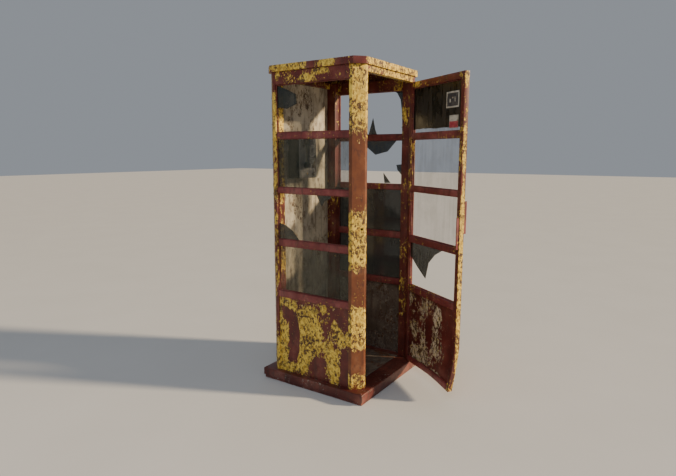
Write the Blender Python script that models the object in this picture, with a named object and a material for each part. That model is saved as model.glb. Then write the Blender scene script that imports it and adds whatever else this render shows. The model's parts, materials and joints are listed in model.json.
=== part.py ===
"""Telephone booth: a steel cabin on a concrete plinth, with a glazed door and a wall payphone.

Frame: +Z up, origin at the centre of the plinth's underside, door side towards -Y,
back wall with the payphone towards +Y. Units are metres. The door stands open at rest.
"""
import math

import bmesh
import bpy
from mathutils import Matrix, Vector

# Driving dimensions
HEIGHT = 2.25
BODY_W = 0.81
BODY_D = 0.77
PLINTH_W = 0.88
PLINTH_D = 0.86
PLINTH_TOP = 0.078
PLINTH_STEP_Z = 0.024
PLINTH_STEP_IN = 0.008
POST = 0.085
POST_CHAMFER = 0.061
POST_WALL = 0.004
CAP_BOTTOM = 2.2065
CAP_OVERHANG = 0.013
CAP_SHEET = 0.003
DOOR_HEAD = 2.165
WINDOW_HEAD = 2.122
SHEET = 0.004
GAP = 0.0003

# Glazing bars, as (bottom, top) heights: three transoms, then the sill
TRANSOMS = ((1.760, 1.8025), (1.387, 1.4255), (1.0125, 1.0585))
SILL = (0.637, 0.685)
BAR_DEPTH = 0.030
BAR_RECESS = 0.005
HEADER_DEPTH = 0.040
GLASS = 0.005
GLASS_SETBACK = 0.017
PANEL_SETBACK = 0.009

# Door: sizes are in the closed leaf's own frame, whose origin is the hinge axis
HINGE_X = 0.3205
HINGE_Y = -0.395
DOOR_OPEN = math.radians(58.0)
LEAF_START = 0.0035
LEAF_END = 0.6375
LEAF_OUTER = 0.007
LEAF_INNER = 0.042
LEAF_BOTTOM = 0.086
LEAF_TOP = 2.160
STILE = 0.034
TOP_RAIL_BOTTOM = 2.115
BOTTOM_RAIL_TOP = 0.126
LEAF_GLASS_Y = 0.020
LEAF_PANEL_Y = 0.024
LEAF_PANEL_T = 0.003
NOTICE = (-0.565, -0.430, 1.950, 2.052)
NOTICE_T = 0.001
OUTER_PULL_Z = (1.150, 1.360)
INNER_PULL_Z = (1.050, 1.255)
PULL_FLANGE = 0.032
PULL_REACH = 0.018
PULL_LIP = 0.008
PULL_T = 0.003
PULL_INSET = 0.004
BENT_HEIGHT = 0.400
BENT_START = 0.300
BENT_INWARD = 0.045
BENT_BACK = 0.12
BENT_POWER = 1.35

# Hinges: lift-off knuckles, the lower half with its pin on the post
HINGE_HEIGHTS = {"upper": 1.86, "lower": 0.33}
KNUCKLE_R = 0.007
KNUCKLE_H = 0.045
PIN_R = 0.0038
RUNNING_FIT = 0.00008
HINGE_SIDES = 24
HINGE_PLATE_T = 0.004

# Payphone: housing corner, size and the places of what is on its front
PHONE_X0 = -0.195
PHONE_X1 = 0.013
PHONE_Z0 = 1.480
PHONE_Z1 = 1.775
PHONE_FRONT = 0.260
PHONE_WALL = 0.0025
BACKPLATE_T = 0.005
DIAL_X = -0.045
DIAL_Z = 1.680
DIAL_PLATE_R = 0.044
DIAL_R = 0.040
DIAL_T = 0.003
FINGER_HOLES = 10
FINGER_R = 0.0065
FINGER_RING_R = 0.0275
COIN_SLOT_X = -0.010
COIN_DOOR = (-0.185, -0.085, 1.488, 1.536)
RETURN_BAY = (-0.062, -0.006, 1.500, 1.552)
HANDSET_X = -0.148
HOOK_PIVOT_Y = 0.285
HOOK_PIVOT_Z = 1.716


def clear_scene():
    """Remove whatever the file opened with."""
    for old in list(bpy.data.objects):
        bpy.data.objects.remove(old, do_unlink=True)


def material(name, colour, roughness, metallic=0.0, transmission=0.0):
    """One Principled material."""
    made = bpy.data.materials.new(name)
    made.use_nodes = True
    shader = made.node_tree.nodes["Principled BSDF"]
    shader.inputs["Base Color"].default_value = (*colour, 1.0)
    shader.inputs["Roughness"].default_value = roughness
    shader.inputs["Metallic"].default_value = metallic
    shader.inputs["Transmission Weight"].default_value = transmission
    made.diffuse_color = (*colour, 1.0)
    return made


def finish(name, bm, mat, parent=None, smooth=False):
    """Turn a bmesh into a named object, with its faces pointing out."""
    bmesh.ops.recalc_face_normals(bm, faces=bm.faces)
    mesh = bpy.data.meshes.new(name)
    bm.to_mesh(mesh)
    bm.free()
    mesh.materials.append(mat)
    if smooth:
        mesh.shade_smooth()
        mesh.set_sharp_from_angle(angle=math.radians(35))
    obj = bpy.data.objects.new(name, mesh)
    bpy.context.collection.objects.link(obj)
    obj.parent = parent
    return obj


def add_box(bm, low, high):
    """Add an axis-aligned box to a bmesh and return its vertices."""
    size = Vector(high) - Vector(low)
    centre = (Vector(high) + Vector(low)) / 2
    place = Matrix.Translation(centre) @ Matrix.Diagonal((*size, 1.0))
    return bmesh.ops.create_cube(bm, size=1.0, matrix=place)["verts"]


def bevel(obj, width, segments=1):
    """Ease the edges of an object."""
    mod = obj.modifiers.new("eased_edges", "BEVEL")
    mod.width = width
    mod.segments = segments
    mod.limit_method = "ANGLE"
    return mod


def bar(name, low, high, mat, parent=None, ease=0.0015):
    """A rectangular bar, rail or plate with eased edges."""
    bm = bmesh.new()
    add_box(bm, low, high)
    obj = finish(name, bm, mat, parent)
    if ease:
        bevel(obj, ease)
    return obj


def extrude_outline(bm, outline, start, end, axis="Z"):
    """Extrude a closed 2-D outline between two heights along an axis."""
    place = {
        "X": lambda a, b, h: (h, a, b),
        "Y": lambda a, b, h: (a, h, b),
        "Z": lambda a, b, h: (a, b, h),
    }[axis]
    face = bm.faces.new([bm.verts.new(place(a, b, start)) for a, b in outline])
    grown = bmesh.ops.extrude_face_region(bm, geom=[face])["geom"]
    moved = [item for item in grown if isinstance(item, bmesh.types.BMVert)]
    step = Vector(place(0.0, 0.0, end)) - Vector(place(0.0, 0.0, start))
    bmesh.ops.translate(bm, verts=moved, vec=step)


def add_cylinder(bm, radius, depth, centre, axis="Z", sides=24, radius_top=None):
    """Add a cylinder or cone centred on a point, along X, Y or Z."""
    turn = {
        "X": Matrix.Rotation(math.pi / 2, 4, "Y"),
        "Y": Matrix.Rotation(math.pi / 2, 4, "X"),
        "Z": Matrix.Identity(4),
    }[axis]
    bmesh.ops.create_cone(
        bm,
        cap_ends=True,
        segments=sides,
        radius1=radius,
        radius2=radius if radius_top is None else radius_top,
        depth=depth,
        matrix=Matrix.Translation(centre) @ turn,
    )


def cutter(name, bm, target, operation="DIFFERENCE", parent=None):
    """Cut or join a hidden tool body on a target with an exact Boolean."""
    tool = finish(name, bm, target.data.materials[0], parent)
    tool.hide_render = True
    tool.display_type = "WIRE"
    mod = target.modifiers.new(name, "BOOLEAN")
    mod.object = tool
    mod.operation = operation
    mod.solver = "EXACT"
    return tool


def make_plinth(mats):
    """Two-step concrete plinth and the floor plate on it."""
    bm = bmesh.new()
    half_w, half_d = PLINTH_W / 2, PLINTH_D / 2
    profile = (
        (PLINTH_STEP_IN, 0.0),
        (PLINTH_STEP_IN, PLINTH_STEP_Z),
        (0.0, PLINTH_STEP_Z),
        (0.0, PLINTH_TOP - 0.004),
        (0.004, PLINTH_TOP),
    )
    rings = []
    for inset, height in profile:
        corners = ((-1, -1), (1, -1), (1, 1), (-1, 1))
        ring = [bm.verts.new((sx * (half_w - inset), sy * (half_d - inset), height)) for sx, sy in corners]
        rings.append(ring)
    for lower, upper in zip(rings, rings[1:]):
        for k in range(4):
            bm.faces.new((lower[k], lower[(k + 1) % 4], upper[(k + 1) % 4], upper[k]))
    bm.faces.new(rings[0][::-1])
    bm.faces.new(rings[-1])
    finish("plinth", bm, mats["plinth"])

    floor_x = BODY_W / 2 - POST - 0.002
    floor_y = BODY_D / 2 - POST - 0.002
    floor_z = PLINTH_TOP + GAP
    bar("floor_plate", (-floor_x, -floor_y, floor_z), (floor_x, floor_y, floor_z + SHEET), mats["floor"], ease=0.0)


def post_outline(sx, sy, inset=0.0):
    """A corner post's section: a square whose outer corner is cut at 45 degrees."""
    out_x, out_y = BODY_W / 2 - inset, BODY_D / 2 - inset
    in_x, in_y = BODY_W / 2 - POST + inset, BODY_D / 2 - POST + inset
    cut = POST_CHAMFER - inset * (2 - math.sqrt(2))
    points = (
        (in_x, in_y),
        (out_x, in_y),
        (out_x, out_y - cut),
        (out_x - cut, out_y),
        (in_x, out_y),
    )
    return [(sx * x, sy * y) for x, y in points]


def make_posts(mats):
    """Four folded-steel corner posts, open at both ends."""
    for sy, depth_name in ((-1, "front"), (1, "back")):
        for sx, side_name in ((-1, "left"), (1, "right")):
            bm = bmesh.new()
            extrude_outline(bm, post_outline(sx, sy), PLINTH_TOP + GAP, CAP_BOTTOM - GAP)
            post = finish(f"post_{depth_name}_{side_name}", bm, mats["red_paint"])
            bm = bmesh.new()
            extrude_outline(bm, post_outline(sx, sy, POST_WALL), 0.0, HEIGHT)
            cutter(f"{post.name}_hollow", bm, post)
            if sy < 0 and sx < 0:
                bm = bmesh.new()
                face_x = -(BODY_W / 2) + POST_CHAMFER * 0.77
                face_y = -(BODY_D / 2) + POST_CHAMFER * 0.23
                add_cylinder(bm, 0.009, 0.02, (0, 0, 0), sides=16)
                turn = Matrix.Rotation(math.radians(-45), 4, "Z") @ Matrix.Rotation(math.pi / 2, 4, "X")
                bmesh.ops.transform(bm, verts=bm.verts, matrix=Matrix.Translation((face_x, face_y, 1.175)) @ turn)
                cutter("lock_keeper_hole", bm, post)


def make_headers(mats):
    """Beams between the post heads; those over the windows are deeper."""
    half_w, half_d = BODY_W / 2, BODY_D / 2
    reach_x = half_w - POST - GAP
    reach_y = half_d - POST - GAP
    top = CAP_BOTTOM - GAP
    bar("header_front", (-reach_x, -half_d, DOOR_HEAD), (reach_x, -half_d + HEADER_DEPTH, top), mats["red_paint"])
    bar("header_back", (-reach_x, half_d - HEADER_DEPTH, DOOR_HEAD), (reach_x, half_d, top), mats["red_paint"])
    for sx, name in ((-1, "left"), (1, "right")):
        xs = sorted((sx * half_w, sx * (half_w - HEADER_DEPTH)))
        bar(f"header_{name}", (xs[0], -reach_y, WINDOW_HEAD), (xs[1], reach_y, top), mats["red_paint"])


def cap_outline(inset=0.0):
    """The roof's eight-sided outline."""
    half_w = BODY_W / 2 + CAP_OVERHANG - inset
    half_d = BODY_D / 2 + CAP_OVERHANG - inset
    cut = POST_CHAMFER - inset * (2 - math.sqrt(2))
    return [
        (half_w - cut, -half_d),
        (half_w, -half_d + cut),
        (half_w, half_d - cut),
        (half_w - cut, half_d),
        (-half_w + cut, half_d),
        (-half_w, half_d - cut),
        (-half_w, -half_d + cut),
        (-half_w + cut, -half_d),
    ]


def make_roof(mats):
    """Roof tray of folded sheet, with its rim turned down and open underneath."""
    bm = bmesh.new()
    extrude_outline(bm, cap_outline(), CAP_BOTTOM, HEIGHT)
    roof = finish("roof_cap", bm, mats["red_paint"])
    bm = bmesh.new()
    extrude_outline(bm, cap_outline(0.030), CAP_BOTTOM - 0.05, HEIGHT - CAP_SHEET)
    cutter("roof_hollow", bm, roof)


def make_back_wall(mats):
    """The solid back sheet that carries the payphone."""
    reach_x = BODY_W / 2 - POST - GAP
    back = BODY_D / 2 - 0.006
    bar(
        "back_panel",
        (-reach_x, back - SHEET, PLINTH_TOP + GAP),
        (reach_x, back, DOOR_HEAD - GAP),
        mats["cream_paint"],
        ease=0.0,
    )


def bay_limits():
    """Heights of the four window openings, from the top one down."""
    bars = ((WINDOW_HEAD, WINDOW_HEAD), *TRANSOMS, SILL)
    return [(lower[1], upper[0]) for upper, lower in zip(bars, bars[1:])]


def make_window_bars(mats, name, sx):
    """One side wall's transoms, sill and lower panel."""
    outer = BODY_W / 2 - BAR_RECESS
    reach = BODY_D / 2 - POST - GAP
    for number, (bottom, top) in enumerate(TRANSOMS, start=1):
        xs = sorted((sx * outer, sx * (outer - BAR_DEPTH)))
        bar(f"{name}_transom_{number}", (xs[0], -reach, bottom), (xs[1], reach, top), mats["red_paint"])
    xs = sorted((sx * (outer + BAR_RECESS), sx * (outer - BAR_DEPTH)))
    bar(f"{name}_sill", (xs[0], -reach, SILL[0]), (xs[1], reach, SILL[1]), mats["red_paint"])
    face = BODY_W / 2 - PANEL_SETBACK
    xs = sorted((sx * face, sx * (face - SHEET)))
    low, high = (xs[0], -reach, PLINTH_TOP + GAP), (xs[1], reach, SILL[0] - GAP)
    bar(f"{name}_panel", low, high, mats["red_paint"], ease=0.0)


def glass_faces(sx):
    """The two X positions of a side wall's glass."""
    outer = BODY_W / 2 - GLASS_SETBACK
    return sorted((sx * outer, sx * (outer - GLASS)))


def make_pane(mats, name, sx, bay):
    """A whole pane in one bay of a side wall."""
    bottom, top = bay_limits()[bay - 1]
    reach = BODY_D / 2 - POST - GAP
    xs = glass_faces(sx)
    low, high = (xs[0], -reach, bottom + GAP), (xs[1], reach, top - GAP)
    bar(f"{name}_pane_{bay}", low, high, mats["glass"], ease=0.0)


def make_shard(mats, name, sx, outline):
    """A piece left of a broken pane, whose outline is in (y, z)."""
    bm = bmesh.new()
    extrude_outline(bm, outline, *glass_faces(sx), "X")
    finish(name, bm, mats["glass"])


def make_side_walls(mats):
    """Both glazed side walls."""
    reach = BODY_D / 2 - POST - GAP
    bays = bay_limits()
    for sx, name in ((-1, "left"), (1, "right")):
        make_window_bars(mats, name, sx)
    for bay in (2, 4):
        make_pane(mats, "left", -1, bay)
    for bay in (3, 4):
        make_pane(mats, "right", 1, bay)
    base = bays[2][0] + GAP
    arched = [(reach, base), (reach, base + 0.115), (0.24, base + 0.10), (0.18, base + 0.065), (0.12, base)]
    make_shard(mats, "left_pane_3_arched_shard", -1, arched)
    base, head = bays[0][0] + GAP, bays[0][1] - GAP
    corner = [
        (-0.19, head),
        (-0.225, head - 0.015),
        (-0.262, head - 0.012),
        (-0.290, head - 0.055),
        (-0.293, base + 0.09),
        (-reach, base + 0.03),
        (-reach, head),
    ]
    make_shard(mats, "right_pane_1_corner_shard", 1, corner)
    spike = [(0.025, base), (-0.014, base + 0.128), (-0.034, base + 0.04), (-0.050, base)]
    make_shard(mats, "right_pane_1_spike_shard", 1, spike)
    head = bays[1][1] - GAP
    hanging = [(0.12, head), (0.03, head - 0.057), (-0.039, head - 0.110), (-0.145, head - 0.085), (-0.225, head)]
    make_shard(mats, "right_pane_2_hanging_shard", 1, hanging)


def bent(point):
    """Where a point of the flat leaf lies after the bottom free corner was knocked inwards."""
    x, y, z = point
    across = max(0.0, (-x - BENT_START) / (LEAF_END - BENT_START))
    down = max(0.0, (BENT_HEIGHT - z) / (BENT_HEIGHT - LEAF_BOTTOM))
    push = BENT_INWARD * (down ** BENT_POWER) * (across ** BENT_POWER)
    return Vector((x + push * BENT_BACK, y + push, z))


def leaf_heights(bottom, top):
    """Heights at which a piece of the leaf is divided, shared by neighbours so that they match."""
    step = 0.045
    stations = [BOTTOM_RAIL_TOP + step * k for k in range(int((BENT_HEIGHT - BOTTOM_RAIL_TOP) / step) + 2)]
    return [bottom] + [z for z in stations if bottom + 0.001 < z < top - 0.001] + [top]


def leaf_piece(name, near, far, y_range, z_range, mat, parent, columns=1):
    """A rail, stile or sheet of the leaf, divided so that it can follow the bent corner."""
    xs = [-(near + (far - near) * k / columns) for k in range(columns + 1)]
    zs = leaf_heights(*z_range)
    bm = bmesh.new()
    grids = []
    for y in y_range:
        grids.append([[bm.verts.new(bent((x, y, z))) for x in xs] for z in zs])
    for grid in grids:
        for i in range(len(zs) - 1):
            for j in range(columns):
                bm.faces.new((grid[i][j], grid[i][j + 1], grid[i + 1][j + 1], grid[i + 1][j]))
    front, rear = grids
    for i in range(len(zs) - 1):
        for j in (0, columns):
            bm.faces.new((front[i][j], front[i + 1][j], rear[i + 1][j], rear[i][j]))
    for i in (0, len(zs) - 1):
        for j in range(columns):
            bm.faces.new((front[i][j], front[i][j + 1], rear[i][j + 1], rear[i][j]))
    return finish(name, bm, mat, parent)


def make_door(mats):
    """The glazed leaf, open at rest, with its hinge halves, pulls and notice."""
    pivot = bpy.data.objects.new("door_pivot", None)
    bpy.context.collection.objects.link(pivot)
    pivot.location = (HINGE_X, HINGE_Y, 0.0)
    pivot.rotation_euler = (0.0, 0.0, DOOR_OPEN)

    depth = (LEAF_OUTER, LEAF_INNER)
    red = mats["red_paint"]
    inner_near = LEAF_START + STILE + GAP
    inner_far = LEAF_END - STILE - GAP
    leaf_piece("door_stile_hinge", LEAF_START, LEAF_START + STILE, depth, (LEAF_BOTTOM, LEAF_TOP), red, pivot)
    leaf_piece("door_stile_free", LEAF_END - STILE, LEAF_END, depth, (LEAF_BOTTOM, LEAF_TOP), red, pivot)
    rails = {
        "door_top_rail": (TOP_RAIL_BOTTOM, LEAF_TOP),
        "door_transom_1": TRANSOMS[0],
        "door_transom_2": TRANSOMS[1],
        "door_transom_3": TRANSOMS[2],
        "door_sill": SILL,
    }
    for name, z_range in rails.items():
        leaf_piece(name, inner_near, inner_far, depth, z_range, red, pivot)
    leaf_piece("door_bottom_rail", inner_near, inner_far, depth, (LEAF_BOTTOM, BOTTOM_RAIL_TOP), red, pivot, 8)
    panel_y = (LEAF_PANEL_Y, LEAF_PANEL_Y + LEAF_PANEL_T)
    panel_z = (BOTTOM_RAIL_TOP + GAP, SILL[0] - GAP)
    leaf_piece("door_panel", inner_near, inner_far, panel_y, panel_z, red, pivot, 8)

    glass_y = (LEAF_GLASS_Y, LEAF_GLASS_Y + GLASS)
    heads = (TOP_RAIL_BOTTOM, TRANSOMS[0][0], TRANSOMS[1][0])
    feet = (TRANSOMS[0][1], TRANSOMS[1][1], TRANSOMS[2][1])
    for number, (foot, head) in enumerate(zip(feet, heads), start=1):
        pane_z = (foot + GAP, head - GAP)
        leaf_piece(f"door_pane_{number}", inner_near, inner_far, glass_y, pane_z, mats["glass"], pivot)

    head = TRANSOMS[2][0] - GAP
    shard = [
        (-inner_near, head),
        (-inner_near, head - 0.105),
        (-0.115, head - 0.165),
        (-0.235, head - 0.240),
        (-0.270, head - 0.120),
        (-0.345, head - 0.050),
        (-0.440, head),
    ]
    bm = bmesh.new()
    extrude_outline(bm, shard, *glass_y, "Y")
    finish("door_pane_4_shard", bm, mats["glass"], pivot)

    notice_y = LEAF_GLASS_Y + GLASS + GAP
    x0, x1, z0, z1 = NOTICE
    bar("door_notice", (x0, notice_y, z0), (x1, notice_y + NOTICE_T, z1), mats["paper"], pivot, ease=0.0)

    make_pulls(mats, pivot)
    for place, height in HINGE_HEIGHTS.items():
        make_hinge(mats, place, height, pivot)


def make_pulls(mats, pivot):
    """Folded-lip pulls on both sides of the free stile, to grip with the fingers."""
    t, lip = PULL_T, PULL_LIP
    edge, far = -LEAF_END + PULL_INSET, -LEAF_END + PULL_FLANGE
    sides = {
        "door_outer_pull": (LEAF_OUTER - GAP, -1, OUTER_PULL_Z),
        "door_inner_pull": (LEAF_INNER + GAP, 1, INNER_PULL_Z),
    }
    for name, (face, way, heights) in sides.items():
        section = (
            (far, 0.0),
            (edge, 0.0),
            (edge, PULL_REACH),
            (edge + lip, PULL_REACH),
            (edge + lip, PULL_REACH - t),
            (edge + t, PULL_REACH - t),
            (edge + t, t),
            (far, t),
        )
        bm = bmesh.new()
        extrude_outline(bm, [(x, face + way * out) for x, out in section], *heights)
        finish(name, bm, mats["red_paint"], pivot)


def bore_radius():
    """Circumradius of a faceted bore that just clears the pin."""
    return (PIN_R + RUNNING_FIT) / math.cos(math.pi / HINGE_SIDES)


def make_hinge(mats, place, height, pivot):
    """One lift-off hinge: the post's half with its pin, and the leaf's half above it."""
    bm = bmesh.new()
    x, y = HINGE_X, HINGE_Y
    add_box(bm, (x + 0.0005, y + 0.0055, height), (x + 0.0215, y + 0.0097, height + KNUCKLE_H))
    lower = finish(f"hinge_{place}_post_half", bm, mats["steel"])
    bm = bmesh.new()
    add_cylinder(bm, KNUCKLE_R, KNUCKLE_H, (x, y, height + KNUCKLE_H / 2), sides=HINGE_SIDES)
    cutter(f"hinge_{place}_lower_barrel", bm, lower, "UNION")
    bm = bmesh.new()
    pin_top = height + KNUCKLE_H + 0.034
    add_cylinder(bm, PIN_R, pin_top - height - 0.010, (x, y, (pin_top + height + 0.010) / 2), sides=HINGE_SIDES)
    cutter(f"hinge_{place}_pin", bm, lower, "UNION")

    base = height + KNUCKLE_H + 0.0005
    bm = bmesh.new()
    add_box(bm, (-0.028, LEAF_OUTER - GAP - HINGE_PLATE_T, base), (-0.0005, LEAF_OUTER - GAP, base + KNUCKLE_H))
    upper = finish(f"hinge_{place}_leaf_half", bm, mats["steel"], pivot)
    bm = bmesh.new()
    add_cylinder(bm, KNUCKLE_R, KNUCKLE_H, (0, 0, base + KNUCKLE_H / 2), sides=HINGE_SIDES)
    cutter(f"hinge_{place}_upper_barrel", bm, upper, "UNION", pivot)
    bm = bmesh.new()
    add_cylinder(bm, bore_radius(), KNUCKLE_H, (0, 0, base + KNUCKLE_H / 2 - 0.008), sides=HINGE_SIDES)
    cutter(f"hinge_{place}_bore", bm, upper, "DIFFERENCE", pivot)


def make_phone_housing(mats):
    """Backplate, folded housing with its openings, and the junction box beside it."""
    wall = BODY_D / 2 - 0.006 - SHEET - GAP
    plate = wall - BACKPLATE_T
    bar("phone_backplate", (PHONE_X0 - 0.006, plate, PHONE_Z0 - 0.006), (PHONE_X1 + 0.006, wall, PHONE_Z1 + 0.006),
        mats["steel"], ease=0.001)
    rear = plate - GAP
    housing = bar("phone_housing", (PHONE_X0, PHONE_FRONT, PHONE_Z0), (PHONE_X1, rear, PHONE_Z1), mats["phone"],
                  ease=0.004)
    t = PHONE_WALL
    bm = bmesh.new()
    add_box(bm, (PHONE_X0 + t, PHONE_FRONT + t, PHONE_Z0 + t), (PHONE_X1 - t, rear + 0.02, PHONE_Z1 - t))
    cutter("housing_hollow", bm, housing)
    bm = bmesh.new()
    add_box(bm, (COIN_SLOT_X - 0.0015, PHONE_FRONT - 0.01, 1.735), (COIN_SLOT_X + 0.0015, PHONE_FRONT + 0.01, 1.763))
    add_box(bm, (HANDSET_X - 0.005, PHONE_FRONT - 0.01, 1.700), (HANDSET_X + 0.005, PHONE_FRONT + 0.01, 1.732))
    for x0, x1, z0, z1 in (COIN_DOOR, RETURN_BAY):
        add_box(bm, (x0, PHONE_FRONT - 0.01, z0), (x1, PHONE_FRONT + 0.01, z1))
    cutter("housing_openings", bm, housing)
    junction = bar("line_junction_box", (-0.262, wall - 0.028, 1.677), (-0.207, wall, 1.727), mats["phone"], ease=0.002)
    bm = bmesh.new()
    add_cylinder(bm, 0.007, 0.012, (-0.2345, wall - 0.014, 1.674), sides=12)
    cutter("line_gland", bm, junction, "UNION")


def make_phone_dial(mats):
    """Number plate and the finger wheel that turns on it."""
    front = PHONE_FRONT - GAP
    bm = bmesh.new()
    add_cylinder(bm, DIAL_PLATE_R, 0.004, (DIAL_X, front - 0.002, DIAL_Z), "Y", 40)
    plate = finish("phone_dial_plate", bm, mats["dial_plate"], smooth=True)
    bm = bmesh.new()
    stop_angle = math.radians(-38)
    stop_x = DIAL_X + (DIAL_R + 0.003) * math.cos(stop_angle)
    stop_z = DIAL_Z + (DIAL_R + 0.003) * math.sin(stop_angle)
    add_box(bm, (stop_x - 0.0013, front - 0.010, stop_z - 0.004), (stop_x + 0.0013, front - 0.002, stop_z + 0.004))
    cutter("finger_stop", bm, plate, "UNION")

    axle = bpy.data.objects.new("dial_axle", None)
    bpy.context.collection.objects.link(axle)
    axle.location = (DIAL_X, front - 0.004 - 0.0008 - DIAL_T / 2, DIAL_Z)
    bm = bmesh.new()
    add_cylinder(bm, DIAL_R - 0.0015, DIAL_T, (0, 0, 0), "Y", 40)
    wheel = finish("phone_dial", bm, mats["steel"], axle, smooth=True)
    bm = bmesh.new()
    for k in range(FINGER_HOLES):
        angle = math.radians(-20 + 28 * k)
        centre = (FINGER_RING_R * math.cos(angle), 0, FINGER_RING_R * math.sin(angle))
        add_cylinder(bm, FINGER_R, 0.02, centre, "Y", 12)
    cutter("finger_holes", bm, wheel, "DIFFERENCE", axle)
    bm = bmesh.new()
    add_cylinder(bm, 0.014, 0.004, (0, -0.003, 0), "Y", 24)
    cutter("dial_hub", bm, wheel, "UNION", axle)


def make_phone_doors(mats):
    """Coin-vault door with its lock, and the coin-return flap."""
    x0, x1, z0, z1 = COIN_DOOR
    clear = 0.0008
    face = PHONE_FRONT - 0.001
    door = bar("phone_coin_door", (x0 + clear, face, z0 + clear), (x1 - clear, face + 0.004, z1 - clear), mats["steel"],
               ease=0.0005)
    lock_x, lock_z = x1 - 0.018, (z0 + z1) / 2
    bm = bmesh.new()
    add_cylinder(bm, 0.0075, 0.02, (lock_x, face, lock_z), "Y", 20)
    cutter("lock_bore", bm, door)
    bm = bmesh.new()
    add_cylinder(bm, 0.0072, 0.010, (lock_x, face + 0.003, lock_z), "Y", 20)
    lock = finish("phone_coin_lock", bm, mats["brass"], smooth=True)
    bm = bmesh.new()
    add_box(bm, (lock_x - 0.0007, face - 0.006, lock_z - 0.0035), (lock_x + 0.0007, face + 0.001, lock_z + 0.0035))
    cutter("keyway", bm, lock)

    x0, x1, z0, z1 = RETURN_BAY
    bar("phone_return_flap", (x0 + clear, PHONE_FRONT, z0 + clear), (x1 - clear, PHONE_FRONT + 0.0018, z1 - clear),
        mats["steel"], ease=0.0004)


def make_hook_and_handset(mats):
    """The cradle lever that comes out of the housing, and the handset hanging on it."""
    bm = bmesh.new()
    x, y, z = HANDSET_X, HOOK_PIVOT_Y, HOOK_PIVOT_Z
    add_box(bm, (x - 0.003, 0.236, z - 0.003), (x + 0.003, y + 0.006, z + 0.003))
    hook = finish("phone_hook", bm, mats["steel"])
    bm = bmesh.new()
    add_box(bm, (x - 0.021, 0.2225, z - 0.003), (x + 0.021, 0.2365, z + 0.003))
    cutter("hook_bridge", bm, hook, "UNION")
    bm = bmesh.new()
    for sx in (-1, 1):
        middle = x + sx * 0.0185
        add_box(bm, (middle - 0.0025, 0.223, z + 0.001), (middle + 0.0025, 0.236, z + 0.012))
    cutter("hook_prongs", bm, hook, "UNION")
    bm = bmesh.new()
    add_box(bm, (x - 0.0125, 0.2, z - 0.02), (x + 0.0125, 0.2305, z + 0.02))
    cutter("hook_throat", bm, hook)

    handset_y = 0.2245
    bm = bmesh.new()
    add_cylinder(bm, 0.0115, 0.150, (x, handset_y - 0.006, z - 0.055), sides=12)
    handset = finish("phone_handset", bm, mats["phone"], smooth=True)
    for part, height in (("ear", z + 0.030), ("mouth", z - 0.140)):
        bm = bmesh.new()
        add_cylinder(bm, 0.024, 0.030, (x, handset_y - 0.001, height), "Y", 20, radius_top=0.019)
        cutter(f"handset_{part}", bm, handset, "UNION")


def main():
    """Build the whole booth."""
    clear_scene()
    mats = {
        "red_paint": material("red_paint", (0.28, 0.05, 0.035), 0.7),
        "cream_paint": material("cream_paint", (0.62, 0.58, 0.45), 0.75),
        "plinth": material("plinth", (0.30, 0.09, 0.06), 0.85),
        "floor": material("floor", (0.16, 0.12, 0.10), 0.8, 0.3),
        "glass": material("glass", (0.20, 0.26, 0.25), 0.2, 0.0, 0.8),
        "steel": material("steel", (0.35, 0.32, 0.29), 0.5, 0.9),
        "phone": material("phone", (0.05, 0.05, 0.055), 0.5),
        "dial_plate": material("dial_plate", (0.55, 0.53, 0.48), 0.5),
        "brass": material("brass", (0.55, 0.42, 0.20), 0.4, 0.9),
        "paper": material("paper", (0.65, 0.64, 0.60), 0.8),
    }
    make_plinth(mats)
    make_posts(mats)
    make_headers(mats)
    make_roof(mats)
    make_back_wall(mats)
    make_side_walls(mats)
    make_door(mats)
    make_phone_housing(mats)
    make_phone_dial(mats)
    make_phone_doors(mats)
    make_hook_and_handset(mats)


main()
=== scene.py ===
"""Looks of a weathered telephone booth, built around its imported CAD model.

Steel pieces are replaced by refined copies that are divided, dented and dressed with flaking
paint. Beads, screws, chips of paint, broken glass and the payphone's fine parts are added.
"""
import json
import logging
import math
from dataclasses import dataclass, field
from enum import Enum
from typing import Callable, Optional, Sequence

import bmesh
import bpy
from mathutils import Matrix, Vector, noise


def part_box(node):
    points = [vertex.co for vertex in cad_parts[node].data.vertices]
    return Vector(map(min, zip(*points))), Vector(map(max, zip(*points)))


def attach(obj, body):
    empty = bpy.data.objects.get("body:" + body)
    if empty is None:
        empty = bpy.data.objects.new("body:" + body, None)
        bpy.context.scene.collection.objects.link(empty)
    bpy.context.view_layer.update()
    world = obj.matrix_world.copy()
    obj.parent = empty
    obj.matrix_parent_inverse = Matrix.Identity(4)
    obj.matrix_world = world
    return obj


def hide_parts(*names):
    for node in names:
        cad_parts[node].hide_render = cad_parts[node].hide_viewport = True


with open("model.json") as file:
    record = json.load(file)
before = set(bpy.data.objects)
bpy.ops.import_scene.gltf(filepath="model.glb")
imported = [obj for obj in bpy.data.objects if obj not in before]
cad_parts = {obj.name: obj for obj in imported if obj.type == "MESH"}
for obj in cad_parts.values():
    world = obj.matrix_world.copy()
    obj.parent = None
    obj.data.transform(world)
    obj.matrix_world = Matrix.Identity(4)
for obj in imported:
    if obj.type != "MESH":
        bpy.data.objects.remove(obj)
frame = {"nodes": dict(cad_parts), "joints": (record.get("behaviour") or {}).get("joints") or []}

logging.basicConfig(level=logging.INFO, format="%(message)s")
log = logging.getLogger("booth")

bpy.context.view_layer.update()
Colour = tuple[float, float, float]
Point = tuple[float, float, float]
Spot = tuple[Point, Point, float]
Node, Socket, Material, Piece = bpy.types.Node, bpy.types.NodeSocket, bpy.types.Material, bpy.types.Object
Shape = bmesh.types.BMesh
JOINTS = {joint["name"]: joint for joint in frame["joints"]}


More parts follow.
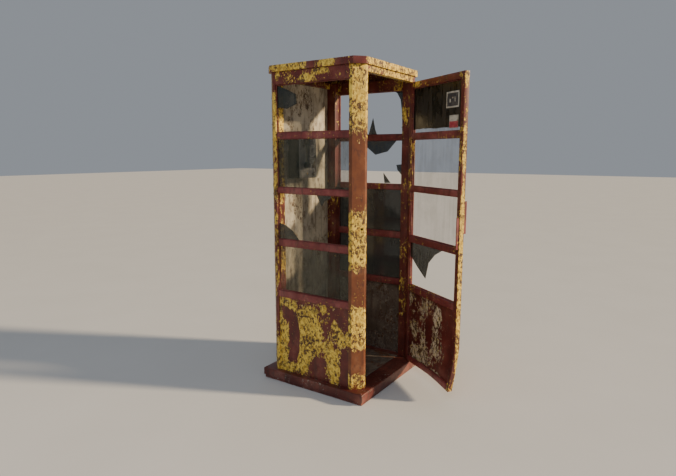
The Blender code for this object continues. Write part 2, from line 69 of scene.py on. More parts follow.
def leaf_matrix() -> Matrix:
    """Where the closed leaf's own frame stands when the door is at rest.

    Returns:
        A matrix from the leaf's frame, whose origin is the hinge axis, to the booth's frame.
    """
    swing = JOINTS["door_swing"]
    opened = math.radians(-swing["range_deg"][0])
    return Matrix.Translation(swing["pos_m"]) @ Matrix.Rotation(opened, 4, "Z")


LEAF = leaf_matrix()


class Body(Enum):
    """The moving groups of the booth that pieces ride on."""

    CABIN = "cabin"
    DOOR = "door"
    DIAL = "dial"
    HOOK = "hook"
    COIN_DOOR = "coin_door"
    COIN_LOCK = "coin_lock"
    RETURN_FLAP = "return_flap"


class Wall(Enum):
    """The two glazed side walls, as the sign of their X."""

    LEFT = -1
    RIGHT = 1


class Tree:
    """A small writer for shader and geometry node trees."""

    def __init__(self, tree: bpy.types.NodeTree) -> None:
        """Keep the tree that nodes are added to."""
        self.tree = tree

    def add(self, kind: str, inputs: Optional[dict] = None, **settings: object) -> Node:
        """Add a node.

        Args:
            kind: The node's type name.
            inputs: Socket names or numbers, each with a value or a socket to link from.
            settings: Node properties to set before the inputs.

        Returns:
            The new node.
        """
        node = self.tree.nodes.new(kind)
        for key, value in settings.items():
            setattr(node, key, value)
        for key, value in (inputs or {}).items():
            self.put(node, key, value)
        return node

    def put(self, node: Node, key: object, value: object) -> None:
        """Link a socket to an input, or set the input's value."""
        socket = node.inputs[key]
        if isinstance(value, Socket):
            self.tree.links.new(value, socket)
        else:
            socket.default_value = value

    def math(self, operation: str, a: object, b: object = 0.0, clamp: bool = False) -> Socket:
        """Return the result of a math node."""
        node = self.add("ShaderNodeMath", {0: a, 1: b}, operation=operation, use_clamp=clamp)
        return node.outputs[0]

    def plus(self, a: object, b: object, clamp: bool = False) -> Socket:
        """Return a plus b."""
        return self.math("ADD", a, b, clamp)

    def less(self, a: object, b: object, clamp: bool = False) -> Socket:
        """Return a minus b."""
        return self.math("SUBTRACT", a, b, clamp)

    def times(self, a: object, b: object) -> Socket:
        """Return a times b."""
        return self.math("MULTIPLY", a, b)

    def most(self, a: object, b: object) -> Socket:
        """Return the larger of a and b."""
        return self.math("MAXIMUM", a, b)

    def vector(self, operation: str, a: object, b: object) -> Node:
        """Add a vector math node on two vectors."""
        return self.add("ShaderNodeVectorMath", {0: a, 1: b}, operation=operation)

    def moved(self, a: object, b: object) -> Socket:
        """Return a vector moved by another."""
        return self.vector("ADD", a, b).outputs[0]

    def from_point(self, a: object, b: object) -> Socket:
        """Return a vector measured from a point."""
        return self.vector("SUBTRACT", a, b).outputs[0]

    def stretched(self, a: object, b: object) -> Socket:
        """Return a vector times another, axis by axis."""
        return self.vector("MULTIPLY", a, b).outputs[0]

    def shrunk(self, a: object, b: object) -> Socket:
        """Return a vector over another, axis by axis."""
        return self.vector("DIVIDE", a, b).outputs[0]

    def scaled(self, a: object, factor: float) -> Socket:
        """Return a vector times a number."""
        return self.add("ShaderNodeVectorMath", {0: a, "Scale": factor}, operation="SCALE").outputs[0]

    def apart(self, a: object) -> Sequence[Socket]:
        """Return a vector's X, Y and Z."""
        return self.add("ShaderNodeSeparateXYZ", {0: a}).outputs

    def clouds(self, at: object, scale: float, detail: float, rough: float) -> Node:
        """Add a fractal noise texture."""
        inputs = {"Vector": at, "Scale": scale, "Detail": detail, "Roughness": rough}
        return self.add("ShaderNodeTexNoise", inputs)

    def noise(self, at: object, scale: float, detail: float = 3.0, rough: float = 0.5) -> Socket:
        """Return fractal noise as a value around 0.5."""
        return self.clouds(at, scale, detail, rough).outputs[0]

    def noise_colour(self, at: object, scale: float, detail: float = 3.0) -> Socket:
        """Return fractal noise as three values, for bending a pattern."""
        return self.clouds(at, scale, detail, 0.5).outputs["Color"]

    def relief(self, shader: Node, height: object, distance: float, strength: float) -> None:
        """Raise a shader's surface by a height."""
        bump = self.add("ShaderNodeBump", {"Height": height, "Distance": distance, "Strength": strength})
        self.put(shader, "Normal", bump.outputs[0])

    def band(self, value: object, low: float, high: float) -> Socket:
        """Return 0 below low, 1 above high and a smooth step between."""
        inputs = {"Value": value, "From Min": low, "From Max": high}
        return self.add("ShaderNodeMapRange", inputs, interpolation_type="SMOOTHSTEP").outputs[0]

    def mix(self, fac: object, a: object, b: object, blend: str = "MIX") -> Socket:
        """Mix two colours by a factor."""
        node = self.add("ShaderNodeMix", data_type="RGBA", blend_type=blend)
        for number, value in ((0, fac), (6, a), (7, b)):
            if isinstance(value, tuple):
                value = (*value, 1.0)
            self.put(node, number, value)
        return node.outputs[2]


def start_material(name: str) -> tuple[Tree, Node, Material]:
    """Make an empty node material with its shader and output.

    Args:
        name: The material's name.

    Returns:
        The tree writer, the Principled shader and the material.
    """
    made = bpy.data.materials.new(name)
    made.use_nodes = True
    made.node_tree.nodes.clear()
    tree = Tree(made.node_tree)
    shader = tree.add("ShaderNodeBsdfPrincipled")
    tree.add("ShaderNodeOutputMaterial", {"Surface": shader.outputs[0]})
    return tree, shader, made


PATCH_SHARE, BROAD_SHARE, ISLAND_SHARE = 0.50, 0.20, 0.30
SPOT_RIM, SPOT_CORE = 1.55, 0.45


@dataclass(frozen=True)
class PeelPattern:
    """Where paint has let go, worked out the same way for painted faces and for loose chips."""

    coarse: float = 5.5
    lean: float = 0.75
    offset: Point = (0.0, 0.0, 0.0)
    spots: tuple[Spot, ...] = ()

    def field(self, tree: Tree, at: object) -> Socket:
        """Write the pattern into a tree.

        Args:
            tree: The shader or geometry tree to add to.
            at: The position socket.

        Returns:
            A value around 0.5, which is bare metal or undercoat where it is high.
        """
        moved = tree.moved(at, self.offset)
        stretched = tree.stretched(moved, (1.0, 1.0, self.lean))
        centred = tree.from_point(tree.noise_colour(moved, 11.0, 2.0), (0.5, 0.5, 0.5))
        bent = tree.moved(stretched, tree.scaled(centred, 0.06))
        patches = tree.noise(bent, self.coarse, 9.0, 0.68)
        broad = tree.noise(moved, self.coarse * 0.38, 1.0)
        islands = tree.noise(bent, self.coarse * 8.0, 6.0, 0.66)
        total = tree.plus(tree.times(patches, PATCH_SHARE), tree.times(broad, BROAD_SHARE))
        total = tree.plus(total, tree.times(islands, ISLAND_SHARE))
        for centre, radii, push in self.spots:
            shift = tree.from_point(at, centre)
            shift = tree.shrunk(shift, radii)
            reach = tree.add("ShaderNodeVectorMath", {0: shift}, operation="LENGTH").outputs["Value"]
            total = tree.plus(total, tree.times(tree.band(reach, SPOT_RIM, SPOT_CORE), push))
        return total


@dataclass(frozen=True)
class FlakingPaint:
    """Old paint over an ochre undercoat that flakes, with rust breaking through."""

    name: str
    bare: float = 0.50
    pattern: PeelPattern = PeelPattern()
    coat: Colour = (0.088, 0.010, 0.008)
    coat_faded: Colour = (0.170, 0.030, 0.020)
    under: Colour = (0.490, 0.290, 0.028)
    under_pale: Colour = (0.800, 0.560, 0.090)
    under_dark: Colour = (0.085, 0.038, 0.014)
    rust: Colour = (0.085, 0.030, 0.014)
    rust_amount: float = 0.40
    grime: float = 0.45

    def build(self) -> Material:
        """Make the material."""
        tree, shader, made = start_material(self.name)
        at = tree.add("ShaderNodeTexCoord").outputs["Object"]
        field_value = self.pattern.field(tree, at)
        peeled = tree.band(field_value, self.bare - 0.003, self.bare + 0.004)
        nicks = tree.noise(tree.moved(at, (7.7, 3.1, 5.9)), 70.0, 5.0, 0.7)
        clusters = tree.times(tree.band(tree.noise(at, 7.0, 3.0), 0.42, 0.70), 0.09)
        peeled = tree.most(peeled, tree.band(tree.plus(nicks, clusters), 0.690, 0.705))
        lip = tree.band(field_value, self.bare - 0.011, self.bare - 0.002)
        rim = tree.less(lip, peeled, clamp=True)

        streaked = tree.stretched(at, (30.0, 30.0, 2.2))
        streaks = tree.noise(streaked, 1.0, 5.0, 0.6)
        cloud = tree.noise(at, 6.0, 6.0, 0.62)
        grain = tree.noise(at, 160.0, 4.0, 0.6)
        coat = tree.mix(tree.band(cloud, 0.36, 0.68), self.coat, self.coat_faded)
        blotches = tree.noise(tree.stretched(at, (1.0, 1.0, 0.5)), 26.0, 8.0, 0.72)
        coat = tree.mix(tree.times(tree.band(blotches, 0.50, 0.62), 0.55), coat, (0.050, 0.014, 0.010))
        coat = tree.mix(tree.times(tree.band(streaks, 0.48, 0.75), self.grime), coat, (0.045, 0.026, 0.018))

        flake_at = tree.moved(at, tree.scaled(tree.noise_colour(at, 40.0, 3.0), 0.012))
        leaned = tree.stretched(flake_at, (1.0, 1.0, 0.6))
        flakes = {"Vector": leaned, "Scale": 85.0}
        cells = tree.add("ShaderNodeTexVoronoi", flakes, feature="DISTANCE_TO_EDGE")
        broken = tree.band(tree.noise(at, 13.0, 4.0), 0.46, 0.60)
        cracks = tree.times(tree.band(cells.outputs[0], 0.06, 0.005), broken)
        tone = tree.add("ShaderNodeTexVoronoi", flakes)
        patch_tone = tree.plus(tree.times(tone.outputs["Color"], 0.5),
                               tree.times(tree.noise(at, 22.0, 6.0, 0.7), 0.5))
        under = tree.mix(tree.band(patch_tone, 0.30, 0.58), self.under, self.under_pale)
        specks = tree.noise(tree.stretched(flake_at, (1.0, 1.0, 0.7)), 52.0, 9.0, 0.74)
        heavy = tree.times(tree.band(tree.noise(at, 9.0, 3.0), 0.35, 0.68), 0.07)
        lost = tree.band(tree.plus(specks, heavy), 0.540, 0.575)
        under = tree.mix(lost, under, self.under_dark)
        under = tree.mix(tree.times(cracks, 0.8), under, self.under_dark)

        moved = tree.moved(at, self.pattern.offset)
        rusty = tree.band(tree.noise(moved, 17.0, 9.0, 0.72),
                          0.74 - 0.22 * self.rust_amount, 0.80 - 0.22 * self.rust_amount)
        rust = tree.mix(tree.band(grain, 0.40, 0.62), self.rust, (0.210, 0.075, 0.025))

        colour = tree.mix(peeled, coat, under)
        colour = tree.mix(tree.times(rim, 0.75), colour, self.under_pale)
        colour = tree.mix(rusty, colour, rust)
        dust = tree.times(tree.band(cloud, 0.50, 0.78), 0.16)
        colour = tree.mix(dust, colour, (0.30, 0.25, 0.19))
        tree.put(shader, "Base Color", colour)

        rough = tree.plus(tree.times(grain, 0.22), tree.times(peeled, 0.18))
        rough_base = tree.plus(rough, 0.36)
        tree.put(shader, "Roughness", tree.plus(rough_base, tree.times(rusty, 0.20), clamp=True))

        step = tree.less(1.0, peeled)
        height = tree.plus(tree.times(step, 0.55), tree.times(rim, 0.35))
        flaky = tree.less(1.0, tree.most(cracks, lost))
        height = tree.plus(height, tree.times(tree.times(flaky, peeled), 0.35))
        height = tree.plus(height, tree.times(grain, 0.12))
        height = tree.less(height, tree.times(rusty, 0.30))
        tree.relief(shader, height, 0.0022, 0.9)
        return made


@dataclass(frozen=True)
class DirtyGlass:
    """Old window glass under a patchy film of dirt."""

    name: str
    tint: Colour = (0.022, 0.034, 0.024)
    film: Colour = (0.055, 0.054, 0.038)
    clear: float = 0.10
    filmed: float = 0.26
    spread: float = 0.5
    offset: Point = (0.0, 0.0, 0.0)
    blind_above: Optional[float] = None

    def build(self) -> Material:
        """Make the material, whose alpha lets light through where the glass is clean."""
        tree, shader, made = start_material(self.name)
        at = tree.add("ShaderNodeTexCoord").outputs["Object"]
        moved = tree.moved(at, self.offset)
        cloud = tree.noise(moved, 4.5, 7.0, 0.62)
        runs = tree.noise(tree.stretched(moved, (38.0, 38.0, 3.0)), 1.0, 6.0, 0.6)
        specks = tree.noise(moved, 210.0, 3.0, 0.7)
        dirt = tree.plus(tree.times(cloud, 0.6), tree.times(runs, 0.4))
        dirty = tree.band(dirt, self.spread - 0.10, self.spread + 0.14)
        dirty = tree.most(dirty, tree.times(tree.band(specks, 0.64, 0.72), 0.7))
        alpha = tree.plus(self.clear, tree.times(dirty, self.filmed - self.clear))
        colour = tree.mix(dirty, self.tint, self.film)
        if self.blind_above is not None:
            height = tree.apart(at)[2]
            ragged = tree.plus(height, tree.times(cloud, 0.03))
            blind = tree.band(ragged, self.blind_above, self.blind_above + 0.006)
            alpha = tree.most(alpha, tree.times(blind, 0.985))
            dark = tree.mix(tree.band(runs, 0.45, 0.7), (0.008, 0.009, 0.007), (0.024, 0.021, 0.015))
            colour = tree.mix(blind, colour, dark)
        tree.put(shader, "Base Color", colour)
        tree.put(shader, "Alpha", alpha)
        tree.put(shader, "Roughness", tree.plus(tree.times(dirty, 0.5), 0.07))
        tree.put(shader, "Specular IOR Level", 0.6)
        tree.relief(shader, dirt, 0.0006, 0.4)
        return made


@dataclass(frozen=True)
class AgedSurface:
    """A plain material that has aged: metal, plastic, paper, concrete or floor dirt."""

    name: str
    base: Colour
    worn: Colour
    stain: Colour = (0.060, 0.035, 0.020)
    metallic: float = 0.0
    rough: float = 0.5
    stain_at: float = 0.60
    scale: float = 30.0
    relief: float = 0.0004
    streak: Point = (1.0, 1.0, 1.0)

    def build(self) -> Material:
        """Make the material."""
        tree, shader, made = start_material(self.name)
        at = tree.add("ShaderNodeTexCoord").outputs["Object"]
        run = tree.stretched(at, self.streak)
        cloud = tree.noise(run, self.scale, 7.0, 0.66)
        fine = tree.noise(at, self.scale * 9.0, 4.0, 0.6)
        broad = tree.noise(run, self.scale * 0.35, 8.0, 0.7)
        stained = tree.band(broad, self.stain_at - 0.03, self.stain_at + 0.05)
        colour = tree.mix(tree.band(cloud, 0.38, 0.64), self.base, self.worn)
        colour = tree.mix(stained, colour, self.stain)
        tree.put(shader, "Base Color", colour)
        tree.put(shader, "Metallic", tree.times(tree.less(1.0, stained), self.metallic))
        spread = tree.plus(tree.times(fine, 0.25), tree.times(stained, 0.25))
        tree.put(shader, "Roughness", tree.plus(spread, self.rough - 0.12, clamp=True))
        height = tree.plus(tree.times(fine, 0.4), tree.times(cloud, 0.6))
        tree.relief(shader, height, self.relief, 0.8)
        return made


def wall_spots(rows: Sequence[tuple[float, float, float, float, float]], x: float) -> tuple[Spot, ...]:
    """Place spots on a side wall from rows of Y, Z, reach along Y, reach along Z and push."""
    return tuple(((x, y, z), (0.1, wide, tall), push) for y, z, wide, tall, push in rows)


def leaf_spots(rows: Sequence[tuple[float, float, float, float, float]], y: float) -> tuple[Spot, ...]:
    """Place spots on the door from rows of the leaf's own X, Z, reach along X, reach along Z and push."""
    return tuple((tuple(LEAF @ Vector((x, y, z))), (wide, wide, tall), push)
                 for x, z, wide, tall, push in rows)


NEAR_POST_SPOTS = tuple(
    ((-0.378, -0.353, z), (0.12, 0.12, tall), push)
    for z, tall, push in ((2.04, 0.24, 0.15), (1.54, 0.22, -0.14), (1.11, 0.20, 0.15), (0.77, 0.10, -0.14),
                          (0.515, 0.155, 0.16), (0.27, 0.08, -0.14), (0.14, 0.05, 0.04)))
LEFT_PANEL_SPOTS = wall_spots((
    (0.29, 0.33, 0.06, 0.26, 0.13), (0.04, 0.50, 0.11, 0.10, 0.14), (0.0, 0.36, 0.12, 0.11, 0.14),
    (0.07, 0.24, 0.07, 0.12, 0.13), (0.20, 0.115, 0.12, 0.045, 0.13), (-0.17, 0.20, 0.05, 0.11, 0.12),
    (0.22, 0.60, 0.06, 0.05, 0.10), (-0.09, 0.603, 0.025, 0.03, 0.10), (-0.188, 0.506, 0.025, 0.04, 0.11),
    (-0.24, 0.42, 0.07, 0.05, 0.06), (0.165, 0.36, 0.04, 0.15, -0.24), (0.25, 0.52, 0.035, 0.05, -0.18),
    (-0.03, 0.15, 0.06, 0.07, -0.20), (-0.26, 0.56, 0.10, 0.10, -0.12),
    (-0.28, 0.20, 0.06, 0.13, -0.12)), -0.396)
ROOF_SPOTS = (
    ((-0.418, 0.17, 2.225), (0.06, 0.15, 0.05), 0.14), ((-0.418, -0.01, 2.225), (0.06, 0.03, 0.05), -0.14),
    ((-0.418, -0.12, 2.230), (0.06, 0.07, 0.03), 0.10), ((-0.40, -0.32, 2.225), (0.08, 0.10, 0.05), -0.14),
    ((0.0, -0.398, 2.225), (0.30, 0.04, 0.06), 0.09))
HEADER_SPOTS = (
    ((-0.405, 0.04, 2.147), (0.05, 0.05, 0.025), 0.12), ((-0.405, -0.10, 2.185), (0.05, 0.07, 0.02), 0.10),
    ((-0.405, 0.28, 2.185), (0.05, 0.04, 0.02), 0.08), ((0.0, -0.385, 2.185), (0.32, 0.05, 0.06), 0.14))
DOOR_PANEL_SPOTS = leaf_spots((
    (-0.12, 0.37, 0.065, 0.060, 0.11), (-0.23, 0.30, 0.030, 0.050, 0.09), (-0.41, 0.53, 0.045, 0.080, 0.13),
    (-0.40, 0.34, 0.025, 0.070, 0.13), (-0.18, 0.17, 0.085, 0.070, 0.13), (-0.42, 0.125, 0.070, 0.020, 0.12),
    (-0.545, 0.11, 0.025, 0.025, 0.14), (-0.06, 0.58, 0.020, 0.050, 0.12),
    (-0.54, 0.35, 0.060, 0.200, -0.12), (-0.30, 0.42, 0.040, 0.150, -0.09)), 0.026)
DOOR_FRAME_SPOTS = leaf_spots((
    (-0.645, 0.85, 0.016, 1.00, 0.22), (-0.645, 2.12, 0.016, 0.05, 0.16), (-0.60, 2.14, 0.03, 0.03, 0.12),
    (-0.10, 2.14, 0.06, 0.02, 0.12)), 0.0245)


@dataclass(frozen=True)
class Finishes:
    """Every finish on the booth, built once and handed to the sub-assemblies."""

    post: FlakingPaint = FlakingPaint("post_paint", 0.512, PeelPattern(4.2, 0.55, (0.3, 0.1, 0.35)))
    # The near post's coat and faded coat are warmer and lighter than the other posts' red: painted warm
    # light from the key light on its front, over the real red paint.
    near_post: FlakingPaint = FlakingPaint(
        "near_post_paint_painted_light", 0.535, PeelPattern(6.0, 0.6, (3.1, 0.7, 1.6), NEAR_POST_SPOTS),
        coat=(0.125, 0.033, 0.010), coat_faded=(0.205, 0.064, 0.018))
    inner_post: FlakingPaint = FlakingPaint(
        "inner_post_paint", 0.572, PeelPattern(6.0, 0.5, (1.1, 5.2, 0.6)))
    header: FlakingPaint = FlakingPaint(
        "header_paint", 0.555, PeelPattern(8.0, 0.8, (6.3, 2.1, 0.2), HEADER_SPOTS))
    roof: FlakingPaint = FlakingPaint(
        "roof_paint", 0.520, PeelPattern(9.0, 1.0, (2.1, 0.4, 1.7), ROOF_SPOTS))
    bars: FlakingPaint = FlakingPaint(
        "bar_paint", 0.600, PeelPattern(8.0, 0.75, (5.2, 1.4, 0.7)), coat=(0.150, 0.022, 0.022),
        coat_faded=(0.260, 0.058, 0.055), rust_amount=0.25)
    left_panel: FlakingPaint = FlakingPaint(
        "left_panel_paint", 0.535, PeelPattern(6.0, 0.6, (1.3, 0.62, 0.4), LEFT_PANEL_SPOTS))
    panel: FlakingPaint = FlakingPaint("panel_paint", 0.506, PeelPattern(4.6, 0.7, (7.3, 3.2, 0.9)))
    door_panel: FlakingPaint = FlakingPaint(
        "door_panel_paint", 0.545, PeelPattern(7.0, 0.6, (3.7, 8.8, 2.3), DOOR_PANEL_SPOTS),
        under=(0.50, 0.38, 0.17), under_pale=(0.62, 0.50, 0.34))
    door_frame: FlakingPaint = FlakingPaint(
        "door_frame_paint", 0.575, PeelPattern(8.0, 0.75, (2.7, 7.1, 4.4), DOOR_FRAME_SPOTS))
    hinge_paint: FlakingPaint = FlakingPaint("hinge_paint", 0.56, PeelPattern(16.0, 0.75, (1.9, 4.2, 0.3)))
    plinth: FlakingPaint = FlakingPaint(
        "plinth_paint", 0.590, PeelPattern(7.0, 0.75, (9.1, 6.2, 3.3)), under=(0.30, 0.25, 0.19),
        under_pale=(0.42, 0.37, 0.30), coat=(0.085, 0.014, 0.010), coat_faded=(0.180, 0.045, 0.030),
        rust_amount=0.3, grime=0.7)
    cream: FlakingPaint = FlakingPaint(
        "back_wall_cream", 0.560, PeelPattern(5.5, 0.5, (4.4, 2.2, 5.5)), coat=(0.40, 0.35, 0.25),
        coat_faded=(0.60, 0.55, 0.42), under=(0.17, 0.11, 0.07), under_pale=(0.36, 0.30, 0.21),
        under_dark=(0.07, 0.045, 0.03), rust_amount=0.28, grime=0.62)
    lining: FlakingPaint = FlakingPaint(
        "side_lining", 0.530, PeelPattern(4.5, 0.75, (6.1, 2.9, 4.5)), coat=(0.10, 0.072, 0.052),
        coat_faded=(0.17, 0.135, 0.105), under=(0.07, 0.04, 0.03), under_pale=(0.22, 0.18, 0.14), grime=0.7)
    red_chips: AgedSurface = AgedSurface("red_chips", (0.100, 0.014, 0.011), (0.180, 0.036, 0.026))
    pale_chips: AgedSurface = AgedSurface("pale_chips", (0.50, 0.36, 0.11), (0.62, 0.48, 0.22))
    cream_chips: AgedSurface = AgedSurface("cream_chips", (0.42, 0.37, 0.27), (0.58, 0.53, 0.40))
    lining_chips: AgedSurface = AgedSurface("lining_chips", (0.12, 0.09, 0.065), (0.19, 0.155, 0.12))
    glass: DirtyGlass = DirtyGlass("door_glass", clear=0.06, filmed=0.16)
    side_glass: DirtyGlass = DirtyGlass(
        "side_window_glass", (0.022, 0.032, 0.018), (0.062, 0.060, 0.036), 0.24, 0.48,
        offset=(3.3, 1.2, 0.8))
    dark_glass: DirtyGlass = DirtyGlass(
        "window_glass_dark", (0.007, 0.012, 0.013), (0.030, 0.034, 0.030), 0.86, 0.93, spread=0.56)
    sooted_glass: DirtyGlass = DirtyGlass("door_glass_blind", blind_above=1.842)
    broken_glass: DirtyGlass = DirtyGlass(
        "broken_glass", (0.018, 0.024, 0.020), (0.060, 0.056, 0.042), 0.74, 0.88, spread=0.55)
    steel: AgedSurface = AgedSurface(
        "dull_steel", (0.30, 0.28, 0.26), (0.42, 0.40, 0.37), metallic=0.9, rough=0.46)
    casing: AgedSurface = AgedSurface(
        "phone_casing", (0.022, 0.022, 0.024), (0.060, 0.058, 0.055), rough=0.48)
    faceplate: AgedSurface = AgedSurface(
        "phone_faceplate", (0.20, 0.195, 0.18), (0.31, 0.30, 0.275), metallic=0.35, rough=0.55, scale=18.0,
        streak=(1.0, 1.0, 0.3))
    enamel: AgedSurface = AgedSurface("dial_enamel", (0.52, 0.50, 0.43), (0.64, 0.61, 0.54), rough=0.35)
    ink: AgedSurface = AgedSurface("printed_ink", (0.03, 0.03, 0.035), (0.08, 0.075, 0.07), rough=0.7)
    red_ink: AgedSurface = AgedSurface("faded_red_ink", (0.34, 0.03, 0.05), (0.45, 0.09, 0.09), rough=0.7)
    brass: AgedSurface = AgedSurface(
        "dull_brass", (0.45, 0.33, 0.15), (0.58, 0.46, 0.24), metallic=0.9, rough=0.4)
    paper: AgedSurface = AgedSurface(
        "notice_paper", (0.36, 0.34, 0.28), (0.52, 0.50, 0.43), (0.16, 0.12, 0.07), rough=0.8, stain_at=0.54)
    floor: AgedSurface = AgedSurface(
        "rusted_floor", (0.11, 0.085, 0.065), (0.20, 0.16, 0.12), (0.14, 0.055, 0.025), rough=0.8,
        scale=14.0, relief=0.0015)

    def build(self) -> dict[str, Material]:
        """Build all of them.

        Returns:
            The materials, by the names of these fields.
        """
        return {name: getattr(self, name).build() for name in self.__dataclass_fields__}


BEAD_OFF, BEAD_IN = 0.0035, 0.002
OUT_BACK, OUT_FRONT = (0.0, 1.0, 0.0), (0.0, -1.0, 0.0)
WELD = 1e-5
FLAT_ANGLE = math.radians(0.6)
CORNER_ANGLE = 0.45
FULL_TURN = 6.28


def dent(at: Vector, amount: float) -> float:
    """How far a beaten steel surface stands off true at a point."""
    broad = noise.noise(at * 3.1) + 0.5 * noise.noise(at * 8.3 + Vector((4.0, 1.0, 7.0)))
    sharp = max(0.0, noise.noise(at * 6.0 + Vector((9.0, 3.0, 2.0))) - 0.32) * 2.4
    fine = 0.25 * noise.noise(at * 27.0)
    return amount * (broad - sharp + fine)


def to_object(name: str, bm: Shape, materials: Sequence[Material],
              smooth_angle: float = 38.0) -> Piece:
    """Turn a bmesh into a shaded object at the origin.

    Args:
        name: The piece's name.
        bm: Its shape, which is freed.
        materials: Its material slots.
        smooth_angle: Edges sharper than this, in degrees, stay sharp.

    Returns:
        The new object.
    """
    mesh = bpy.data.meshes.new(name)
    bm.to_mesh(mesh)
    bm.free()
    for made in materials:
        mesh.materials.append(made)
    mesh.shade_smooth()
    mesh.set_sharp_from_angle(angle=math.radians(smooth_angle))
    piece = bpy.data.objects.new(name, mesh)
    bpy.context.collection.objects.link(piece)
    return piece


def settle(bm: Shape) -> None:
    """Rebuild a bmesh in an order that only its shape decides.

    A bevel leaves its vertices in another order each run, and the loose chips' places follow that order.

    Args:
        bm: The bmesh.
    """
    verts = sorted(bm.verts, key=lambda vert: tuple(round(value, 6) for value in vert.co))
    place = {vert: k for k, vert in enumerate(verts)}
    rings = []
    for face in bm.faces:
        ring = [place[vert] for vert in face.verts]
        first = ring.index(min(ring))
        rings.append((ring[first:] + ring[:first], face.material_index))
    spots = [vert.co.copy() for vert in verts]
    bm.clear()
    corners = [bm.verts.new(spot) for spot in spots]
    for ring, slot in sorted(rings):
        bm.faces.new([corners[k] for k in ring]).material_index = slot
    bm.normal_update()


def soften(bm: Shape, edges: Sequence[bmesh.types.BMEdge], ease: float, **settings: object) -> None:
    """Round some edges of a bmesh.

    Args:
        bm: The bmesh.
        edges: The edges to round.
        ease: The rounding's width.
        settings: More of the bevel's own settings.
    """
    bmesh.ops.bevel(bm, geom=edges, offset=ease, segments=2, profile=0.6, affect="EDGES", **settings)
    settle(bm)


def box_into(bm: Shape, low: Sequence[float], high: Sequence[float], ease: float = 0.0,
             slot: int = 0) -> None:
    """Add a box with eased edges to a bmesh.

    Args:
        bm: The bmesh to add to.
        low: The lowest corner.
        high: The highest corner.
        ease: Edge radius.
        slot: Material slot of its faces.
    """
    size = Vector(high) - Vector(low)
    place = Matrix.Translation((Vector(high) + Vector(low)) / 2) @ Matrix.Diagonal((*size, 1.0))
    verts = bmesh.ops.create_cube(bm, size=1.0, matrix=place)["verts"]
    for face in {face for vert in verts for face in vert.link_faces}:
        face.material_index = slot
    if ease:
        edges = dict.fromkeys(edge for vert in verts for edge in vert.link_edges)
        soften(bm, list(edges), ease, material=slot)


def disc_into(bm: Shape, centre: Point, radius: float, depth: float, sides: int,
              ease: float, slot: int) -> None:
    """Add a flat round boss that faces -Y to a bmesh."""
    place = Matrix.Translation(centre) @ Matrix.Rotation(math.pi / 2, 4, "X")
    verts = bmesh.ops.create_cone(bm, cap_ends=True, segments=sides, radius1=radius, radius2=radius,
                                  depth=depth, matrix=place)["verts"]
    faces = list(dict.fromkeys(face for vert in verts for face in vert.link_faces))
    for face in faces:
        face.material_index = slot
    if ease:
        rims = dict.fromkeys(edge for face in faces if len(face.verts) > 4 for edge in face.edges)
        soften(bm, list(rims), ease, material=slot)


def divide(bm: Shape, steps: Sequence[float]) -> None:
    """Cut a mesh with evenly spaced planes across each axis, so that it can be dented.

    Args:
        bm: The mesh.
        steps: The spacing along X, Y and Z; zero leaves an axis alone.
    """
    for axis, step in enumerate(steps):
        if not step:
            continue
        low = min(vert.co[axis] for vert in bm.verts)
        high = max(vert.co[axis] for vert in bm.verts)
        count = max(1, round((high - low) / step))
        normal = Vector((0.0, 0.0, 0.0))
        normal[axis] = 1.0
        for k in range(1, count):
            place = normal * (low + (high - low) * k / count)
            geom = bm.verts[:] + bm.edges[:] + bm.faces[:]
            bmesh.ops.bisect_plane(bm, geom=geom, dist=WELD, plane_co=place, plane_no=normal)


@dataclass
class Refit:
    """How a steel CAD node becomes a finished piece: cuts, eased edges and dents, in metres."""

    steps: Point = (0.0, 0.0, 0.05)
    ease: float = 0.0
    dents: float = 0.0006
    in_leaf: bool = False
    sheet_way: Optional[Point] = None
    two_faced: Optional[Callable[[Vector], bool]] = None

    def make(self, node: str, materials: Sequence[Material], body: Body = Body.CABIN) -> Piece:
        """Copy a CAD node, divide and dent it, and let the copy stand for it.

        Args:
            node: The CAD node.
            materials: One material, or two where the piece is painted differently on each side.
            body: The body the piece rides on.

        Returns:
            The finished piece.
        """
        bm = bmesh.new()
        bm.from_mesh(frame["nodes"][node].data)
        bmesh.ops.remove_doubles(bm, verts=bm.verts, dist=WELD)
        place = LEAF if self.in_leaf else Matrix.Identity(4)
        bmesh.ops.transform(bm, matrix=place.inverted(), verts=bm.verts)
        bmesh.ops.dissolve_limit(bm, angle_limit=FLAT_ANGLE, verts=bm.verts, edges=bm.edges)
        if self.ease:
            sharp = [edge for edge in bm.edges
                     if len(edge.link_faces) == 2 and edge.calc_face_angle(0.0) > CORNER_ANGLE]
            soften(bm, sharp, self.ease, clamp_overlap=True)
        divide(bm, self.steps)
        bm.normal_update()
        way = Vector(self.sheet_way or (0.0, 0.0, 0.0))
        for vert in bm.verts:
            if self.sheet_way:
                vert.co += way * dent(vert.co - way * vert.co.dot(way), self.dents)
            elif self.dents:
                vert.co += vert.normal * dent(vert.co, self.dents)
        bm.normal_update()
        if self.two_faced:
            for face in bm.faces:
                face.material_index = 1 if self.two_faced(face.normal) else 0
        bmesh.ops.triangulate(bm, faces=[face for face in bm.faces if len(face.verts) > 4])
        bmesh.ops.transform(bm, matrix=place, verts=bm.verts)
        piece = hand_over(to_object(f"{node}_finished", bm, materials), body)
        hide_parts(node)
        return piece


def dress(node: str, made: Material) -> None:
    """Give a CAD node that stays a better material."""
    data = frame["nodes"][node].data
    data.materials.clear()
    data.materials.append(made)


def hand_over(piece: Piece, body: Body) -> Piece:
    """Set a finished piece on its body, and report it."""
    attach(piece, body.value)
    log.info("piece %s rides on %s", piece.name, body.value)
    return piece


